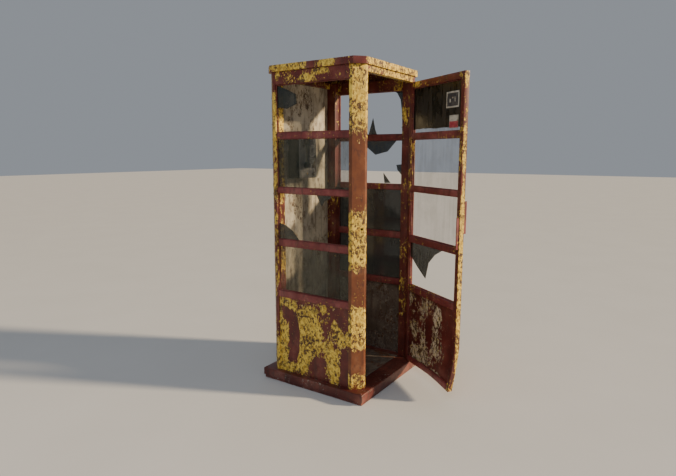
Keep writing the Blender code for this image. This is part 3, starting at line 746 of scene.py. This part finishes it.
class Repeater:
    """Geometry-node trees for what repeats, each turned into a plain mesh when it is used."""

    def __init__(self, name: str, sizes: dict[str, float]) -> None:
        """Start a tree with a geometry socket each way and one named input for each size."""
        self.group = bpy.data.node_groups.new(name, "GeometryNodeTree")
        face = self.group.interface
        face.new_socket(name="Geometry", in_out="INPUT", socket_type="NodeSocketGeometry")
        for size in sizes:
            face.new_socket(name=size, in_out="INPUT", socket_type="NodeSocketFloat")
        face.new_socket(name="Geometry", in_out="OUTPUT", socket_type="NodeSocketGeometry")
        self.sizes = sizes
        self.tree = Tree(self.group)
        self.entry = self.tree.add("NodeGroupInput").outputs

    def chance(self, low: object, high: object, seed: int) -> Socket:
        """Return a random number for each instance, from a fixed seed."""
        inputs = {2: low, 3: high, "Seed": seed}
        return self.tree.add("FunctionNodeRandomValue", inputs, data_type="FLOAT").outputs[1]

    def spun(self, rotation: Socket, seed: int) -> Socket:
        """Return a rotation that is first turned by a random angle about its own Z."""
        inputs = {"Angle": self.chance(0.0, FULL_TURN, seed)}
        twist = self.tree.add("FunctionNodeAxisAngleToRotation", inputs).outputs[0]
        turn = self.tree.add("FunctionNodeRotateRotation", {0: rotation, 1: twist}, rotation_space="LOCAL")
        return turn.outputs[0]

    def end(self, made: Socket, materials: Sequence[Material]) -> None:
        """Finish the tree: realize the instances, set the material and send them out.

        Args:
            made: The geometry to send out.
            materials: One material, or two that alternate in small areas.
        """
        tree = self.tree
        made = tree.add("GeometryNodeRealizeInstances", {0: made}).outputs[0]
        made = tree.add("GeometryNodeSetMaterial", {"Geometry": made, "Material": materials[0]}).outputs[0]
        if len(materials) > 1:
            at = tree.add("GeometryNodeInputPosition").outputs[0]
            other = tree.math("GREATER_THAN", tree.noise(at, 34.0, 1.0), 0.5)
            inputs = {"Geometry": made, "Selection": other, "Material": materials[1]}
            made = tree.add("GeometryNodeSetMaterial", inputs).outputs[0]
        tree.add("NodeGroupOutput", {0: made})

    def run(self, host: Piece, name: str) -> Piece:
        """Run the tree on a host object, which is removed, and keep the result as a plain mesh.

        Args:
            host: The object that carries the points, lines or faces to work from.
            name: The finished piece's name.

        Returns:
            The finished piece, with no modifier on it.
        """
        modifier = host.modifiers.new("repeat", "NODES")
        modifier.node_group = self.group
        for item in self.group.interface.items_tree:
            if item.in_out == "INPUT" and item.name in self.sizes:
                modifier[item.identifier] = self.sizes[item.name]
        graph = bpy.context.evaluated_depsgraph_get()
        data = bpy.data.meshes.new_from_object(host.evaluated_get(graph), depsgraph=graph)
        host.modifiers.remove(modifier)
        bpy.data.objects.remove(host)
        piece = bpy.data.objects.new(name, data)
        bpy.context.collection.objects.link(piece)
        return piece


@dataclass
class Fixings:
    """Screw and rivet heads set on a list of places."""

    radius: float = 0.0045
    height: float = 0.0022
    seed: int = 4

    def build(self, name: str, places: Sequence[tuple[Vector, Vector]], made: Material,
              slot: str = "red_paint") -> None:
        """Make the heads and set them on the cabin.

        Args:
            name: The piece's name.
            places: Each head's seat and the way it faces.
            made: Its material.
            slot: Not used.
        """
        data = bpy.data.meshes.new(name)
        data.from_pydata([seat for seat, _ in places], [], [])
        facing = data.attributes.new("facing", "FLOAT_VECTOR", "POINT")
        for row, (_, way) in zip(facing.data, places):
            row.vector = way
        host = bpy.data.objects.new(name, data)
        bpy.context.collection.objects.link(host)
        repeat = Repeater(f"{name} heads", {"Head Radius": self.radius, "Head Height": self.height})
        tree = repeat.tree
        radius, height = repeat.entry["Head Radius"], repeat.entry["Head Height"]
        skirt = tree.add("GeometryNodeMeshCone", {
            "Vertices": 14, "Side Segments": 2, "Radius Top": tree.times(radius, 0.62),
            "Radius Bottom": radius, "Depth": height})
        way = tree.add("GeometryNodeInputNamedAttribute", {"Name": "facing"}, data_type="FLOAT_VECTOR")
        aligned = tree.add("FunctionNodeAlignRotationToVector", {"Vector": way.outputs[0]}, axis="Z")
        turned = repeat.spun(aligned.outputs[0], self.seed)
        points = tree.add("GeometryNodeMeshToPoints", {"Mesh": repeat.entry["Geometry"]}).outputs[0]
        heads = tree.add("GeometryNodeInstanceOnPoints", {
            "Points": points, "Instance": skirt.outputs[0], "Rotation": turned}).outputs[0]
        repeat.end(heads, [made])
        hand_over(repeat.run(host, name), Body.CABIN)


@dataclass
class Beads:
    """Thin glazing beads that run round each bay."""

    size: float = 0.007

    def build(self, name: str, bays: Sequence[Sequence[Vector]], made: Material, body: Body) -> None:
        """Sweep a bead round every bay.

        Args:
            name: The piece's name.
            bays: The four corners of each bay, in order.
            made: The bead's material.
            body: The body the beads ride on.
        """
        corners = [corner for bay in bays for corner in bay]
        edges = [(4 * k + i, 4 * k + (i + 1) % 4) for k in range(len(bays)) for i in range(4)]
        data = bpy.data.meshes.new(name)
        data.from_pydata(corners, edges, [])
        host = bpy.data.objects.new(name, data)
        bpy.context.collection.objects.link(host)
        repeat = Repeater(f"{name} sweep", {"Bead Size": self.size})
        tree = repeat.tree
        lines = tree.add("GeometryNodeMeshToCurve", {"Mesh": repeat.entry["Geometry"]}).outputs[0]
        cut = tree.add("GeometryNodeCurvePrimitiveCircle", {
            "Resolution": 6, "Radius": tree.times(repeat.entry["Bead Size"], 0.55)}).outputs[0]
        swept = tree.add("GeometryNodeCurveToMesh", {"Curve": lines, "Profile Curve": cut}).outputs[0]
        repeat.end(swept, [made])
        hand_over(repeat.run(host, name), body)


@dataclass
class LooseChips:
    """Curled chips of paint that still hang on along the edges of the bare patches."""

    paint: FlakingPaint
    density: float = 16000.0
    smallest: float = 0.0035
    largest: float = 0.0105
    curl: float = 0.35
    seed: int = 11
    edge_shift: float = 0.004
    edge_reach: float = 0.007
    only_way: Optional[Point] = None
    clear_middle: Point = (0.0, 0.0, -1.0)
    clear_half: Point = (0.01, 0.01, 0.01)

    def build(self, name: str, surface: Piece, materials: Sequence[Material],
              body: Body = Body.CABIN, slot: str = "red_paint") -> None:
        """Scatter the chips over a finished piece, only where its paint is about to let go.

        Args:
            name: The chips' name.
            surface: The finished piece they hang on.
            materials: The chips' two kinds of paint.
            body: The body they ride on.
            slot: Not used.
        """
        host = bpy.data.objects.new(name, surface.data.copy())
        bpy.context.collection.objects.link(host)
        sizes = {"Density": self.density, "Smallest": self.smallest, "Largest": self.largest,
                 "Curl": self.curl}
        repeat = Repeater(f"{name} scatter", sizes)
        tree = repeat.tree
        seed = self.seed
        faces = repeat.entry["Geometry"]
        if self.only_way:
            normal = tree.add("GeometryNodeInputNormal").outputs[0]
            facing = tree.vector("DOT_PRODUCT", normal, self.only_way)
            away = tree.math("LESS_THAN", facing.outputs["Value"], 0.5)
            faces = tree.add("GeometryNodeDeleteGeometry", {"Geometry": faces, "Selection": away},
                             domain="FACE").outputs[0]
        spread = tree.add("GeometryNodeDistributePointsOnFaces", {
            "Mesh": faces, "Density": repeat.entry["Density"], "Seed": seed})
        at = tree.add("GeometryNodeInputPosition").outputs[0]
        field_value = self.paint.pattern.field(tree, at)
        off = tree.math("ABSOLUTE", tree.less(field_value, self.paint.bare - self.edge_shift))
        far = tree.math("GREATER_THAN", off, self.edge_reach)
        shift = tree.shrunk(tree.from_point(at, self.clear_middle), self.clear_half)
        sides = tree.apart(tree.add("ShaderNodeVectorMath", {0: shift}, operation="ABSOLUTE").outputs[0])
        widest = tree.most(tree.most(sides[0], sides[1]), sides[2])
        far = tree.most(far, tree.math("LESS_THAN", widest, 1.0))
        inputs = {"Geometry": spread.outputs["Points"], "Selection": far}
        kept = tree.add("GeometryNodeDeleteGeometry", inputs).outputs[0]

        chip = tree.add("GeometryNodeMeshCube", {
            "Size": (1.0, 1.0, 0.06), "Vertices X": 4, "Vertices Y": 3, "Vertices Z": 2}).outputs[0]
        parts = tree.apart(tree.add("GeometryNodeInputPosition").outputs[0])
        across = tree.plus(parts[0], 0.5)
        lift = tree.times(tree.times(across, across), repeat.entry["Curl"])
        narrow = tree.times(tree.times(parts[1], across), -0.45)
        bend = tree.add("ShaderNodeCombineXYZ", {0: 0.0, 1: narrow, 2: lift}).outputs[0]
        chip = tree.add("GeometryNodeSetPosition", {"Geometry": chip, "Offset": bend}).outputs[0]

        turned = repeat.spun(spread.outputs["Rotation"], seed + 1)
        smallest, largest = repeat.entry["Smallest"], repeat.entry["Largest"]
        wide = repeat.chance(smallest, largest, seed + 2)
        long = repeat.chance(smallest, largest, seed + 3)
        scale = tree.add("ShaderNodeCombineXYZ", {0: wide, 1: long, 2: wide}).outputs[0]
        chips = tree.add("GeometryNodeInstanceOnPoints", {
            "Points": kept, "Instance": chip, "Rotation": turned, "Scale": scale}).outputs[0]
        repeat.end(chips, materials)
        hand_over(repeat.run(host, name), body)


@dataclass
class SteelShell:
    """The cabin's plinth, floor, posts, headers, roof cap and back wall."""

    finishes: Finishes
    looks: dict[str, Material]
    sheet_step: float = 0.035
    bolt_inset_x: float = 0.015
    bolt_inset_y: float = 0.018
    bolt_lift: float = 0.001
    rivet_inset: float = 0.016
    rivet_rows: int = 12
    rivet_columns: int = 4
    doorway_middle: Point = (0.0, -0.37, 1.12)
    doorway_half: Point = (0.335, 0.045, 1.08)
    # The near post takes the paint that carries painted warm light on its red coat.
    post_looks: dict[str, str] = field(default_factory=lambda: {
        "front_left": "near_post", "front_right": "inner_post",
        "back_left": "post", "back_right": "inner_post"})

    def build(self) -> None:
        """Build every piece of the shell."""
        looks, paints = self.looks, self.finishes
        chips = [looks["red_chips"], looks["pale_chips"]]
        Refit((0.05, 0.05, 0.02), 0.004, 0.0016).make("plinth", [looks["plinth"]])
        Refit((0.03, 0.03, 0.0), 0.001, 0.0012).make("floor_plate", [looks["floor"]])
        posts = {side: Refit((0.0, 0.0, 0.04), 0.0016, 0.0008).make(f"post_{side}", [looks[look]])
                 for side, look in self.post_looks.items()}
        for side, steps in (("front", (0.05, 0.0, 0.03)), ("back", (0.05, 0.0, 0.03)),
                            ("left", (0.0, 0.05, 0.03)), ("right", (0.0, 0.05, 0.03))):
            Refit(steps, 0.0016, 0.0007).make(f"header_{side}", [looks["header"]])
        roof = Refit((0.04, 0.04, 0.02), 0.003, 0.0014).make("roof_cap", [looks["roof"]])
        back = Refit((self.sheet_step, 0.0, self.sheet_step), 0.0, 0.0022, sheet_way=OUT_BACK,
                     two_faced=lambda way: way.y < -0.5)
        wall = back.make("back_panel", [looks["panel"], looks["cream"]])
        LooseChips(paints.panel, 7000.0, seed=41, only_way=OUT_BACK).build("back_panel_chips", wall, chips)
        LooseChips(paints.cream, 9000.0, seed=43, only_way=OUT_FRONT).build(
            "back_wall_chips", wall, [looks["cream_chips"]], slot="cream_paint")
        for side, post in posts.items():
            LooseChips(getattr(paints, self.post_looks[side]), 9000.0, clear_middle=self.doorway_middle,
                       clear_half=self.doorway_half).build(f"post_{side}_chips", post, chips)
        LooseChips(paints.roof, 7000.0).build("roof_chips", roof, chips)
        self.bolts()

    def bolts(self) -> None:
        """Set anchor bolts on the plinth's ledge and rivets round the back panel."""
        low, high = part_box("plinth")
        spots = [(Vector((x, y, high.z + self.bolt_lift)), Vector((0.0, 0.0, 1.0)))
                 for x in (low.x + self.bolt_inset_x, high.x - self.bolt_inset_x)
                 for y in (low.y + self.bolt_inset_y, high.y - self.bolt_inset_y)]
        Fixings(0.007, 0.006).build("anchor_bolts", spots, self.looks["plinth"], "plinth")
        low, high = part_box("back_panel")
        inset = self.rivet_inset
        across, up = (low.x + inset, high.x - inset), (low.z + inset, high.z - inset)
        places = []
        for k in range(self.rivet_rows + 1):
            z = up[0] + (up[1] - up[0]) * k / self.rivet_rows
            places += [(Vector((x, high.y, z)), Vector(OUT_BACK)) for x in across]
        for k in range(1, self.rivet_columns):
            x = across[0] + (across[1] - across[0]) * k / self.rivet_columns
            places += [(Vector((x, high.y, z)), Vector(OUT_BACK)) for z in up]
        Fixings(0.0055, 0.003, 7).build("back_panel_rivets", places, self.looks["panel"])


@dataclass
class SideWall:
    """A glazed side wall: its bars, lower panel, panes, beads and screws."""

    wall: Wall
    finishes: Finishes
    looks: dict[str, Material]
    screw_pitch: float = 0.14
    screw_inset: float = 0.016
    splinters: Sequence[Sequence[tuple[float, float]]] = field(default_factory=list)

    @property
    def side(self) -> str:
        """The wall's word in node names."""
        return self.wall.name.lower()

    def build(self) -> None:
        """Build the wall."""
        out = self.wall.value
        looks, paints = self.looks, self.finishes
        for bar in ("transom_1", "transom_2", "transom_3", "sill"):
            Refit((0.0, 0.05, 0.0), 0.0018, 0.0008).make(f"{self.side}_{bar}", [looks["bars"]])
        outer = "left_panel" if self.wall is Wall.LEFT else "panel"
        sheet = Refit((0.0, 0.035, 0.035), 0.0, 0.0024, sheet_way=(1.0, 0.0, 0.0),
                      two_faced=lambda way: way.x * out < -0.5).make(
            f"{self.side}_panel", [looks[outer], looks["lining"]])
        LooseChips(getattr(paints, outer), 15000.0, seed=21 + out, only_way=(out, 0.0, 0.0)).build(
            f"{self.side}_panel_chips", sheet, [looks["red_chips"], looks["pale_chips"]])
        LooseChips(paints.lining, 9000.0, seed=25 + out, only_way=(-out, 0.0, 0.0)).build(
            f"{self.side}_lining_chips", sheet, [looks["lining_chips"]])
        self.glaze()
        self.bead_bays()
        self.screws()
        if self.splinters:
            self.shatter()

    def glaze(self) -> None:
        """Dress the panes, whole and broken."""
        whole = "dark_glass" if self.wall is Wall.RIGHT else "side_glass"
        for node in frame["nodes"]:
            if node.startswith(f"{self.side}_pane_"):
                dress(node, self.looks["broken_glass" if "shard" in node else whole])

    def bays(self) -> list[tuple[float, float, float, float]]:
        """Return each bay as its lowest and highest Y, then its lowest and highest Z."""
        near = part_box(f"post_front_{self.side}")[1].y
        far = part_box(f"post_back_{self.side}")[0].y
        transoms = [f"{self.side}_transom_{k}" for k in (1, 2, 3)]
        rails = [f"header_{self.side}", *transoms, f"{self.side}_sill"]
        return [(near, far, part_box(below)[1].z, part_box(above)[0].z)
                for above, below in zip(rails, rails[1:])]

    def bead_bays(self) -> None:
        """Run a bead round each bay on both sides of the glass."""
        low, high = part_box(f"{self.side}_pane_4")
        loops = []
        for x in (low.x - BEAD_OFF, high.x + BEAD_OFF):
            for y0, y1, z0, z1 in self.bays():
                y0, y1, z0, z1 = y0 + BEAD_IN, y1 - BEAD_IN, z0 + BEAD_IN, z1 - BEAD_IN
                corners = ((y0, z0), (y1, z0), (y1, z1), (y0, z1))
                loops.append([Vector((x, y, z)) for y, z in corners])
        Beads().build(f"{self.side}_beads", loops, self.looks["bars"], Body.CABIN)

    def screws(self) -> None:
        """Set screws along the lower panel's top and bottom edges."""
        out = self.wall.value
        low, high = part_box(f"{self.side}_panel")
        seat = high.x if out > 0 else low.x
        inset = self.screw_inset
        count = max(2, round((high.y - low.y) / self.screw_pitch))
        places = []
        for k in range(count + 1):
            y = low.y + inset + (high.y - low.y - 2 * inset) * k / count
            places += [(Vector((seat, y, z)), Vector((out, 0.0, 0.0)))
                       for z in (low.z + inset, high.z - inset)]
        Fixings().build(f"{self.side}_panel_screws", places, self.looks["post"])

    def shatter(self) -> None:
        """Add splinters of glass that still stand in the broken bays."""
        low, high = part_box(f"{self.side}_pane_4")
        bm = bmesh.new()
        for outline in self.splinters:
            loops = [[bm.verts.new((x, y, z)) for y, z in outline] for x in (low.x, high.x)]
            bm.faces.new(loops[0])
            bm.faces.new(list(reversed(loops[1])))
            for i, j in zip(range(len(outline)), [*range(1, len(outline)), 0]):
                bm.faces.new((loops[0][i], loops[0][j], loops[1][j], loops[1][i]))
        bmesh.ops.recalc_face_normals(bm, faces=bm.faces)
        piece = to_object(f"{self.side}_glass_splinters", bm, [self.looks["broken_glass"]])
        hand_over(piece, Body.CABIN)


@dataclass
class DoorLeaf:
    """The open door: frame, panes, beaten lower panel, notices and hinges."""

    finishes: Finishes
    looks: dict[str, Material]
    sticker_low: tuple[float, float] = (-0.563, 1.822)
    sticker_high: tuple[float, float] = (-0.468, 1.903)

    def leaf_box(self, node: str) -> tuple[Vector, Vector]:
        """Return a node's box in the closed leaf's own frame."""
        back = LEAF.inverted()
        spots = [back @ vert.co for vert in frame["nodes"][node].data.vertices]
        low = Vector([min(spot[i] for spot in spots) for i in range(3)])
        high = Vector([max(spot[i] for spot in spots) for i in range(3)])
        return low, high

    def build(self) -> None:
        """Build the door."""
        looks = self.looks
        rows = [(node, (0.04, 0.0, 0.0), "bars") for node in (
            "door_transom_1", "door_transom_2", "door_transom_3", "door_sill", "door_bottom_rail")]
        rows += [("door_stile_hinge", (0.0, 0.0, 0.035), "door_frame"),
                 ("door_stile_free", (0.0, 0.0, 0.035), "door_frame"),
                 ("door_top_rail", (0.04, 0.0, 0.0), "door_frame")]
        for node, steps, look in rows:
            Refit(steps, 0.0016, 0.0008, in_leaf=True).make(node, [looks[look]], Body.DOOR)
        sheet = Refit((0.025, 0.0, 0.03), 0.0, 0.0016, in_leaf=True, sheet_way=OUT_BACK).make(
            "door_panel", [looks["door_panel"]], Body.DOOR)
        LooseChips(self.finishes.door_panel, 15000.0, seed=31).build(
            "door_panel_chips", sheet, [looks["red_chips"], looks["pale_chips"]], Body.DOOR)
        for node, look in (("door_pane_1", "sooted_glass"), ("door_pane_2", "glass"),
                           ("door_pane_3", "glass"), ("door_pane_4_shard", "broken_glass")):
            dress(node, looks[look])
        for node in ("door_outer_pull", "door_inner_pull"):
            Refit((0.0, 0.0, 0.03), 0.0, 0.0003, in_leaf=True).make(node, [looks["bars"]], Body.DOOR)
        for half, body in (("post", Body.CABIN), ("leaf", Body.DOOR)):
            for place in ("upper", "lower"):
                Refit((0.0, 0.0, 0.0), 0.0006, 0.0).make(
                    f"hinge_{place}_{half}_half", [looks["hinge_paint"]], body)
        self.bead_bays()
        self.notices()

    def bead_bays(self) -> None:
        """Run beads round the door's bays on both sides of the glass."""
        left = self.leaf_box("door_stile_free")[1].x + BEAD_IN
        right = self.leaf_box("door_stile_hinge")[0].x - BEAD_IN
        rails = ("door_top_rail", "door_transom_1", "door_transom_2", "door_transom_3", "door_sill")
        loops = []
        near, far = self.leaf_box("door_pane_2")
        for y in (near.y - BEAD_OFF, far.y + BEAD_OFF):
            for above, below in zip(rails, rails[1:]):
                low, high = self.leaf_box(below)[1].z + BEAD_IN, self.leaf_box(above)[0].z - BEAD_IN
                corners = ((left, low), (right, low), (right, high), (left, high))
                loops.append([LEAF @ Vector((x, y, z)) for x, z in corners])
        Beads().build("door_beads", loops, self.looks["bars"], Body.DOOR)

    def notices(self) -> None:
        """Put up a framed pictogram sheet and a small two-coloured sticker, both without words."""
        low, high = self.leaf_box("door_notice")
        looks = self.looks
        bm = bmesh.new()
        box_into(bm, low, high, 0.0003, 0)
        ink = high.y + 0.0003
        inset = 0.010
        box_into(bm, (low.x + inset, high.y - 0.0002, low.z + inset),
                 (high.x - inset, ink, high.z - inset), 0.0, 1)
        middle = (low + high) / 2
        for x, z, wide, tall in ((-0.026, 0.0, 0.010, 0.030), (0.0, 0.012, 0.014, 0.010),
                                 (0.026, -0.006, 0.012, 0.022)):
            box_into(bm, (middle.x + x - wide / 2, ink - 0.0001, middle.z + z - tall / 2),
                     (middle.x + x + wide / 2, ink + 0.0003, middle.z + z + tall / 2), 0.0, 0)
        bmesh.ops.transform(bm, matrix=LEAF, verts=bm.verts)
        sheet = to_object("door_notice_sheet", bm, [looks["paper"], looks["ink"]])
        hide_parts("door_notice")
        hand_over(sheet, Body.DOOR)

        face = self.leaf_box("door_pane_1")[1].y
        bm = bmesh.new()
        (low_x, low_z), (high_x, high_z) = self.sticker_low, self.sticker_high
        box_into(bm, (low_x, face, low_z), (high_x, face + 0.0006, high_z), 0.0, 0)
        split = low_z + (high_z - low_z) * 0.52
        box_into(bm, (low_x + 0.002, face + 0.0004, low_z + 0.002),
                 (high_x - 0.002, face + 0.0009, split), 0.0, 1)
        bmesh.ops.transform(bm, matrix=LEAF, verts=bm.verts)
        sticker = to_object("door_sticker", bm, [looks["paper"], looks["red_ink"]])
        hand_over(sticker, Body.DOOR)


@dataclass
class Payphone:
    """The wall payphone, with its handset, dial, coin parts, cards and junction box."""

    looks: dict[str, Material]
    card_low: tuple[float, float] = (-0.078, 1.578)
    card_high: tuple[float, float] = (-0.006, 1.624)
    card_lines: Sequence[float] = (0.9, 0.7, 0.85, 0.5)
    slot_centre: tuple[float, float] = (-0.010, 1.749)
    screw_inset: float = 0.006

    def build(self) -> None:
        """Build the phone."""
        looks = self.looks
        Refit((0.03, 0.03, 0.03), 0.003, 0.0002, two_faced=lambda way: way.y < -0.6).make(
            "phone_housing", [looks["casing"], looks["faceplate"]])
        for node, ease, look, body, slot in (
                ("phone_backplate", 0.0015, "steel", Body.CABIN, "steel"),
                ("line_junction_box", 0.002, "faceplate", Body.CABIN, "phone"),
                ("phone_handset", 0.0012, "casing", Body.HOOK, "phone"),
                ("phone_hook", 0.0006, "steel", Body.HOOK, "steel"),
                ("phone_coin_door", 0.0008, "faceplate", Body.COIN_DOOR, "phone"),
                ("phone_coin_lock", 0.0004, "brass", Body.COIN_LOCK, "brass"),
                ("phone_return_flap", 0.0006, "steel", Body.RETURN_FLAP, "steel")):
            cuts = (0.0, 0.0, 0.01 if node == "phone_handset" else 0.0)
            Refit(cuts, ease, 0.0).make(node, [looks[look]], body)
        dress("phone_dial_plate", looks["enamel"])
        dress("phone_dial", looks["steel"])
        self.face_details()

    def face_details(self) -> None:
        """Add the card, coin-slot bezel, dial boss and screws on the phone's face."""
        looks = self.looks
        low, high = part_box("phone_housing")
        front = low.y
        bm = bmesh.new()
        (x0, z0), (x1, z1) = self.card_low, self.card_high
        box_into(bm, (x0 - 0.003, front - 0.0016, z0 - 0.003),
                 (x1 + 0.003, front + 0.001, z1 + 0.003), 0.0006, 0)
        box_into(bm, (x0, front - 0.0020, z0), (x1, front - 0.0010, z1), 0.0, 1)
        for row, reach in enumerate(self.card_lines):
            z = z1 - 0.009 - row * 0.010
            box_into(bm, (x0 + 0.005, front - 0.0023, z - 0.0012),
                     (x0 + 0.005 + (x1 - x0 - 0.01) * reach, front - 0.0018, z + 0.0012), 0.0, 2)
        card = to_object("phone_card", bm, [looks["steel"], looks["paper"], looks["ink"]])
        hand_over(card, Body.CABIN)

        bm = bmesh.new()
        x, z = self.slot_centre
        for left, right, bottom, top in ((-0.012, -0.004, -0.022, 0.022), (0.004, 0.012, -0.022, 0.022),
                                         (-0.012, 0.012, -0.022, -0.0155), (-0.012, 0.012, 0.0155, 0.022)):
            box_into(bm, (x + left, front - 0.0025, z + bottom),
                     (x + right, front + 0.001, z + top), 0.0006, 0)
        hand_over(to_object("coin_slot_bezel", bm, [looks["steel"]]), Body.CABIN)

        dial_low, dial_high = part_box("phone_dial")
        centre = (dial_low + dial_high) / 2
        bm = bmesh.new()
        disc_into(bm, (centre.x, dial_low.y - 0.0008, centre.z), 0.013, 0.0026, 36, 0.0006, 0)
        disc_into(bm, (centre.x, dial_low.y - 0.0022, centre.z), 0.0095, 0.0012, 36, 0.0003, 1)
        hand_over(to_object("dial_boss", bm, [looks["steel"], looks["paper"]]), Body.DIAL)

        edge = self.screw_inset
        places = [(Vector((x, front, z)), Vector(OUT_FRONT)) for x, z in (
            (low.x + edge, high.z - edge), (high.x - edge, high.z - edge),
            (high.x - edge, low.z + edge), (low.x + edge, low.z + edge))]
        Fixings(0.0028, 0.0014).build("phone_screws", places, looks["steel"], "steel")


@dataclass
class Studio:
    """The pale floor, soft lights and camera."""

    camera_at: Point = (-3.2406, -2.1271, 1.6624)
    camera_yaw: float = -56.04
    camera_down: float = 9.15
    lens: float = 28.056
    towards_key: Point = (0.42, -0.87, 0.34)
    key_power: float = 6.4
    key_spread: float = 4.5
    key_colour: Colour = (1.0, 0.80, 0.54)
    fill_at: Point = (-6.0, -3.0, 5.0)
    fill_size: float = 5.0
    fill_power: float = 150.0
    fill_colour: Colour = (0.90, 0.94, 1.0)
    aim_height: float = 1.1
    air_colour: Colour = (0.80, 0.86, 0.95)
    air_power: float = 0.34
    floor_half: float = 40.0

    def build(self) -> None:
        """Set the stage."""
        bm = bmesh.new()
        bmesh.ops.create_grid(bm, x_segments=2, y_segments=2, size=self.floor_half)
        tree, shader, made = start_material("pale_floor")
        at = tree.add("ShaderNodeTexCoord").outputs["Object"]
        tone = tree.mix(tree.noise(at, 1.5, 3.0), (0.62, 0.61, 0.59), (0.68, 0.67, 0.65))
        tree.put(shader, "Base Color", tone)
        tree.put(shader, "Roughness", 0.85)
        to_object("studio_floor", bm, [made])

        world = bpy.data.worlds.new("studio_air")
        world.use_nodes = True
        bpy.context.scene.world = world
        air = world.node_tree.nodes["Background"]
        air.inputs["Color"].default_value = (*self.air_colour, 1.0)
        air.inputs["Strength"].default_value = self.air_power

        key = bpy.data.lights.new("key_light", "SUN")
        key.energy, key.angle, key.color = self.key_power, math.radians(self.key_spread), self.key_colour
        self.hang(key, Vector((0.0, 0.0, 0.0)), -Vector(self.towards_key))
        fill = bpy.data.lights.new("fill_light", "AREA")
        fill.size, fill.energy, fill.color = self.fill_size, self.fill_power, self.fill_colour
        at = Vector(self.fill_at)
        self.hang(fill, at + Vector((0.0, 0.0, self.aim_height)), -at)

        camera = bpy.data.cameras.new("booth_camera")
        camera.lens = self.lens
        camera.sensor_width = 36.0
        seat = bpy.data.objects.new("booth_camera", camera)
        seat.location = self.camera_at
        seat.rotation_euler = (math.radians(90.0 - self.camera_down), 0.0, math.radians(self.camera_yaw))
        bpy.context.collection.objects.link(seat)
        bpy.context.scene.camera = seat

    def hang(self, light: bpy.types.Light, at: Vector, way: Vector) -> None:
        """Hang a light at a place, looking one way."""
        seat = bpy.data.objects.new(light.name, light)
        seat.location = at
        seat.rotation_euler = way.to_track_quat("-Z", "Y").to_euler()
        bpy.context.collection.objects.link(seat)


RIGHT_SPLINTERS = [
    [(-0.215, 2.118), (-0.250, 2.060), (-0.262, 1.985), (-0.268, 1.900), (-0.300, 1.825), (-0.307, 2.118)],
    [(-0.225, 1.574), (-0.301, 1.582), (-0.304, 1.462), (-0.234, 1.536)],
    [(-0.112, 1.511), (-0.175, 1.435), (-0.123, 1.433)],
]
LEFT_SPLINTERS = [
    [(-0.030, 1.386), (-0.074, 1.311), (-0.098, 1.348), (-0.142, 1.362), (-0.150, 1.386)],
    [(0.306, 2.121), (0.214, 2.088), (0.139, 2.054), (0.129, 1.989), (0.216, 1.960),
     (0.271, 1.971), (0.306, 1.962)],
]


def main() -> None:
    """Build the finishes, then each sub-assembly, then the studio."""
    finishes = Finishes()
    looks = finishes.build()
    SteelShell(finishes, looks).build()
    SideWall(Wall.LEFT, finishes, looks, splinters=LEFT_SPLINTERS).build()
    SideWall(Wall.RIGHT, finishes, looks, splinters=RIGHT_SPLINTERS).build()
    DoorLeaf(finishes, looks).build()
    Payphone(looks).build()
    Studio().build()


if __name__ == "__main__":
    main()
